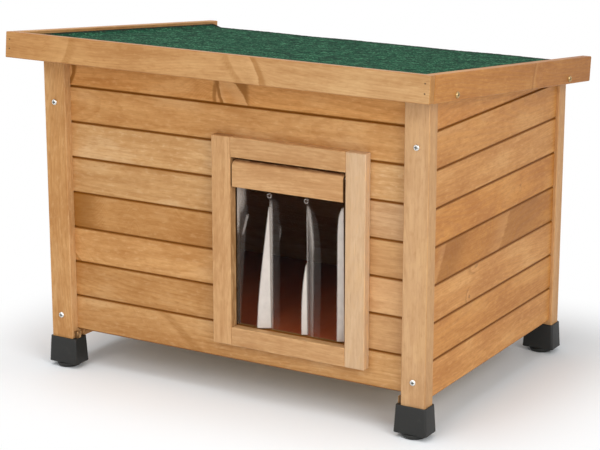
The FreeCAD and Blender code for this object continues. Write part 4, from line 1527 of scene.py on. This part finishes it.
@dataclass
class Fasteners:
    """Cross-head screws in the posts, side boards, flap and hinges, and the hinges themselves."""

    finishes: Finishes
    large: ScrewShape = ScrewShape(3.75 * MM, 2.2 * MM, 1.2 * MM, 0.0, 2.0 * MM, 30.0 * MM)
    small: ScrewShape = ScrewShape(2.6 * MM, 1.5 * MM, 0.85 * MM, 0.0, 1.4 * MM, 9.0 * MM)
    sunk: ScrewShape = ScrewShape(3.0 * MM, 0.25 * MM, 1.0 * MM, 1.5 * MM, 1.5 * MM, 8.0 * MM)
    post_foot: float = 68.0 * MM
    post_drop: float = 54.0 * MM
    flap_inset: float = 3.0 * MM
    hinge_spacing: float = 16.0 * MM

    def dress(self) -> None:
        """Zinc on the hinges, their pins and their screws."""
        for node in nodes_called("hinge_"):
            dress_node(node, self.finishes.hinge)

    def build(self) -> None:
        """All the screws, a piece for each group of them."""
        posts, boards = [], []
        for corner in CORNERS:
            low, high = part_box("post_" + corner)
            if corner.startswith("front"):
                y, way, top = low.y, -1.0, high.z
            else:
                y, way, top = high.y, 1.0, high.z - (high.y - low.y) * math.tan(PITCH)
            posts += [(Vector(((low.x + high.x) / 2, y, z)), Vector((0.0, way, 0.0)))
                      for z in (self.post_foot, top - self.post_drop)]
        self.place("post_screws", posts, self.large, "cabin", self.finishes.zinc)
        for batten in ("roof_batten_front", "roof_batten_rear"):
            low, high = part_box(batten)
            middle = (low + high) / 2
            for way, x in ((-1.0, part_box("roof_board_left")[0].x), (1.0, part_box("roof_board_right")[1].x)):
                boards.append((Vector((x, middle.y, middle.z)), Vector((way, 0.0, 0.0))))
        self.place("board_screws", boards, self.large, "roof", self.finishes.yellow_zinc)
        low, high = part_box("flap_screws")
        spots = [low.x + self.flap_inset, (low.x + high.x) / 2, high.x - self.flap_inset]
        flaps = self.rear_row(spots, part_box("flap_sheet_head")[1].y, (low.z + high.z) / 2)
        self.place("flap_screws", flaps, self.small, "flap", self.finishes.zinc)
        low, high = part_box("hinge_screws_fixed")
        first, last = low.x + self.sunk.radius, high.x - self.sunk.radius
        spots = [first, first + self.hinge_spacing, last - self.hinge_spacing, last]
        leaves = self.rear_row(spots, high.y, (low.z + high.z) / 2)
        self.place("hinge_screws_fixed", leaves, self.sunk, "cabin", self.finishes.zinc)

    @staticmethod
    def rear_row(spots: list[float], y: float, z: float) -> list[tuple[Vector, Vector]]:
        """Seats in a row that face the rear."""
        return [(Vector((x, y, z)), Vector((0.0, 1.0, 0.0))) for x in spots]

    @staticmethod
    def place(node: str, seats: list[tuple[Vector, Vector]], shape: ScrewShape, body: str,
              finish: bpy.types.Material) -> None:
        """Puts a screw at each seat, as one piece standing for a node; recesses darkened with grime and painted shade.

        Args:
            node: the node.
            seats: where each head sits and which way it faces.
            shape: the screws' sizes.
            body: what they ride on.
            finish: their plating.
        """
        piece = make_piece("cross_head_" + node, repeated(shape.shell(), seats), finish, crease=35.0)
        points = points_of(piece)
        grime_and_shade = np.zeros(len(points))
        for base, out in seats:
            x, y, z = ((points - np.array(base)) @ turned(out)).T
            grime_and_shade = np.maximum(grime_and_shade, shape.cross(x, y) * (np.abs(z) < shape.radius))
        write_layer(piece, "grime_and_shade", grime_and_shade)
        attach(piece, body)
        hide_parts(node)


@dataclass(frozen=True)
class Softbox:
    """Rectangular studio lamp: where it stands round the object, in degrees and metres, and its power in watts."""

    name: str
    azimuth: float
    elevation: float
    distance: float
    width: float
    height: float
    power: float

    def build(self, aim: Vector) -> None:
        """Adds the lamp.

        Args:
            aim: the point that it faces.
        """
        lamp = bpy.data.lights.new(self.name, "AREA")
        lamp.shape = "RECTANGLE"
        lamp.size, lamp.size_y = self.width, self.height
        lamp.energy = self.power
        box = bpy.data.objects.new(self.name, lamp)
        around, up = math.radians(self.azimuth), math.radians(self.elevation)
        away = Vector((math.sin(around) * math.cos(up), -math.cos(around) * math.cos(up), math.sin(up)))
        box.location = aim + away * self.distance
        box.rotation_euler = away.to_track_quat("Z", "Y").to_euler()
        bpy.context.scene.collection.objects.link(box)


@dataclass
class Studio:
    """Pale floor, soft light and the camera at the photograph's angle."""

    eye: Vector = field(default_factory=lambda: Vector((1.1791, -2.0023, 0.8007)))
    aim: Vector = field(default_factory=lambda: Vector((0.0, -0.01082, 0.17966)))
    lit: Vector = field(default_factory=lambda: Vector((0.0, 0.0, 0.2)))
    focal_pixels: float = 1915.13
    picture_width: float = 600.0
    sensor: float = 36.0
    floor_half: float = 12.0
    floor_drop: float = 0.05 * MM
    floor_tints: tuple[Colour, Colour] = (srgb(243, 246, 249), srgb(247, 250, 252))
    floor_roughness: float = 0.9
    ambient: float = 0.4
    house_half: tuple[float, float, float] = (0.28, 0.22, 0.0)
    shadow_reach: float = 0.01
    white_reach: float = 0.21
    lamps: tuple[Softbox, ...] = (
        Softbox("key", 58.0, 23.0, 2.0, 1.1, 1.1, 17.6),
        Softbox("fill", -4.0, 27.0, 2.2, 1.1, 1.1, 10.0),
        Softbox("overhead", -20.0, 76.0, 2.4, 1.8, 1.8, 29.0),
    )

    def build(self) -> None:
        """Camera, lamps, world and floor."""
        scene = bpy.context.scene
        scene.view_settings.view_transform = "Standard"
        lens = bpy.data.cameras.new("camera")
        lens.sensor_width = self.sensor
        lens.lens = self.focal_pixels * self.sensor / self.picture_width
        camera = bpy.data.objects.new("camera", lens)
        camera.location = self.eye
        camera.rotation_euler = (self.aim - self.eye).to_track_quat("-Z", "Y").to_euler()
        scene.collection.objects.link(camera)
        scene.camera = camera
        for lamp in self.lamps:
            lamp.build(self.lit)
        self.make_world()
        self.make_floor()

    def make_world(self) -> None:
        """White to the camera, to gloss and through glass; a plain dimmer white as light."""
        world = bpy.data.worlds.new("studio")
        world.use_nodes = True
        bpy.context.scene.world = world
        graph = Graph(world.node_tree)
        graph.fill(world.node_tree.nodes["Background"], {
            "Color": (1.0, 1.0, 1.0, 1.0), "Strength": graph.seen().step(0.0, 1.0, self.ambient, 1.0)})

    def make_floor(self) -> None:
        """Large white floor, just under the feet, that fades to plain white away from the house's shadow."""
        material, graph, shader = new_material("pale_floor")
        place = graph.place()
        graph.fill(shader, {"Base Color": graph.mix(graph.noise(place, 3.0), *self.floor_tints),
                            "Roughness": self.floor_roughness})
        beside = graph.vectors("SUBTRACT", graph.vectors("ABSOLUTE", place), self.house_half)
        away = graph.length(graph.vectors("MAXIMUM", beside, (0.0, 0.0, 0.0)))
        fade = graph.seen() * away.step(self.shadow_reach, self.white_reach)
        white = graph.out("ShaderNodeEmission", 0, {"Strength": 1.0})
        both = graph.out("ShaderNodeMixShader", 0, {0: fade, 1: Wire(graph, shader.outputs[0]), 2: white})
        graph.fill(material.node_tree.nodes["Material Output"], {"Surface": both})
        side = np.array([-self.floor_half, self.floor_half])
        x, y = np.meshgrid(side, side)
        points = np.stack([x, y, np.full_like(x, -self.floor_drop)], -1).reshape(-1, 3)
        mesh = bpy.data.meshes.new("floor")
        mesh.from_pydata(points.tolist(), [], [(0, 1, 3, 2)])
        mesh.materials.append(material)
        floor = bpy.data.objects.new("floor", mesh)
        bpy.context.scene.collection.objects.link(floor)


def main() -> None:
    """Builds and dresses the house, then the studio round it."""
    logging.basicConfig(level=logging.INFO, format="%(message)s")
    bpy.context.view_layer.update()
    finishes = Finishes()
    cabin = Cabin(finishes)
    roof = RoofLid(finishes)
    flap = Flap(finishes)
    fasteners = Fasteners(finishes)
    for assembly in (cabin, roof, flap, fasteners):
        assembly.dress()
    for assembly in (roof, flap, Legs(finishes), fasteners):
        assembly.build()
    Studio().build()


if __name__ == "__main__":
    main()
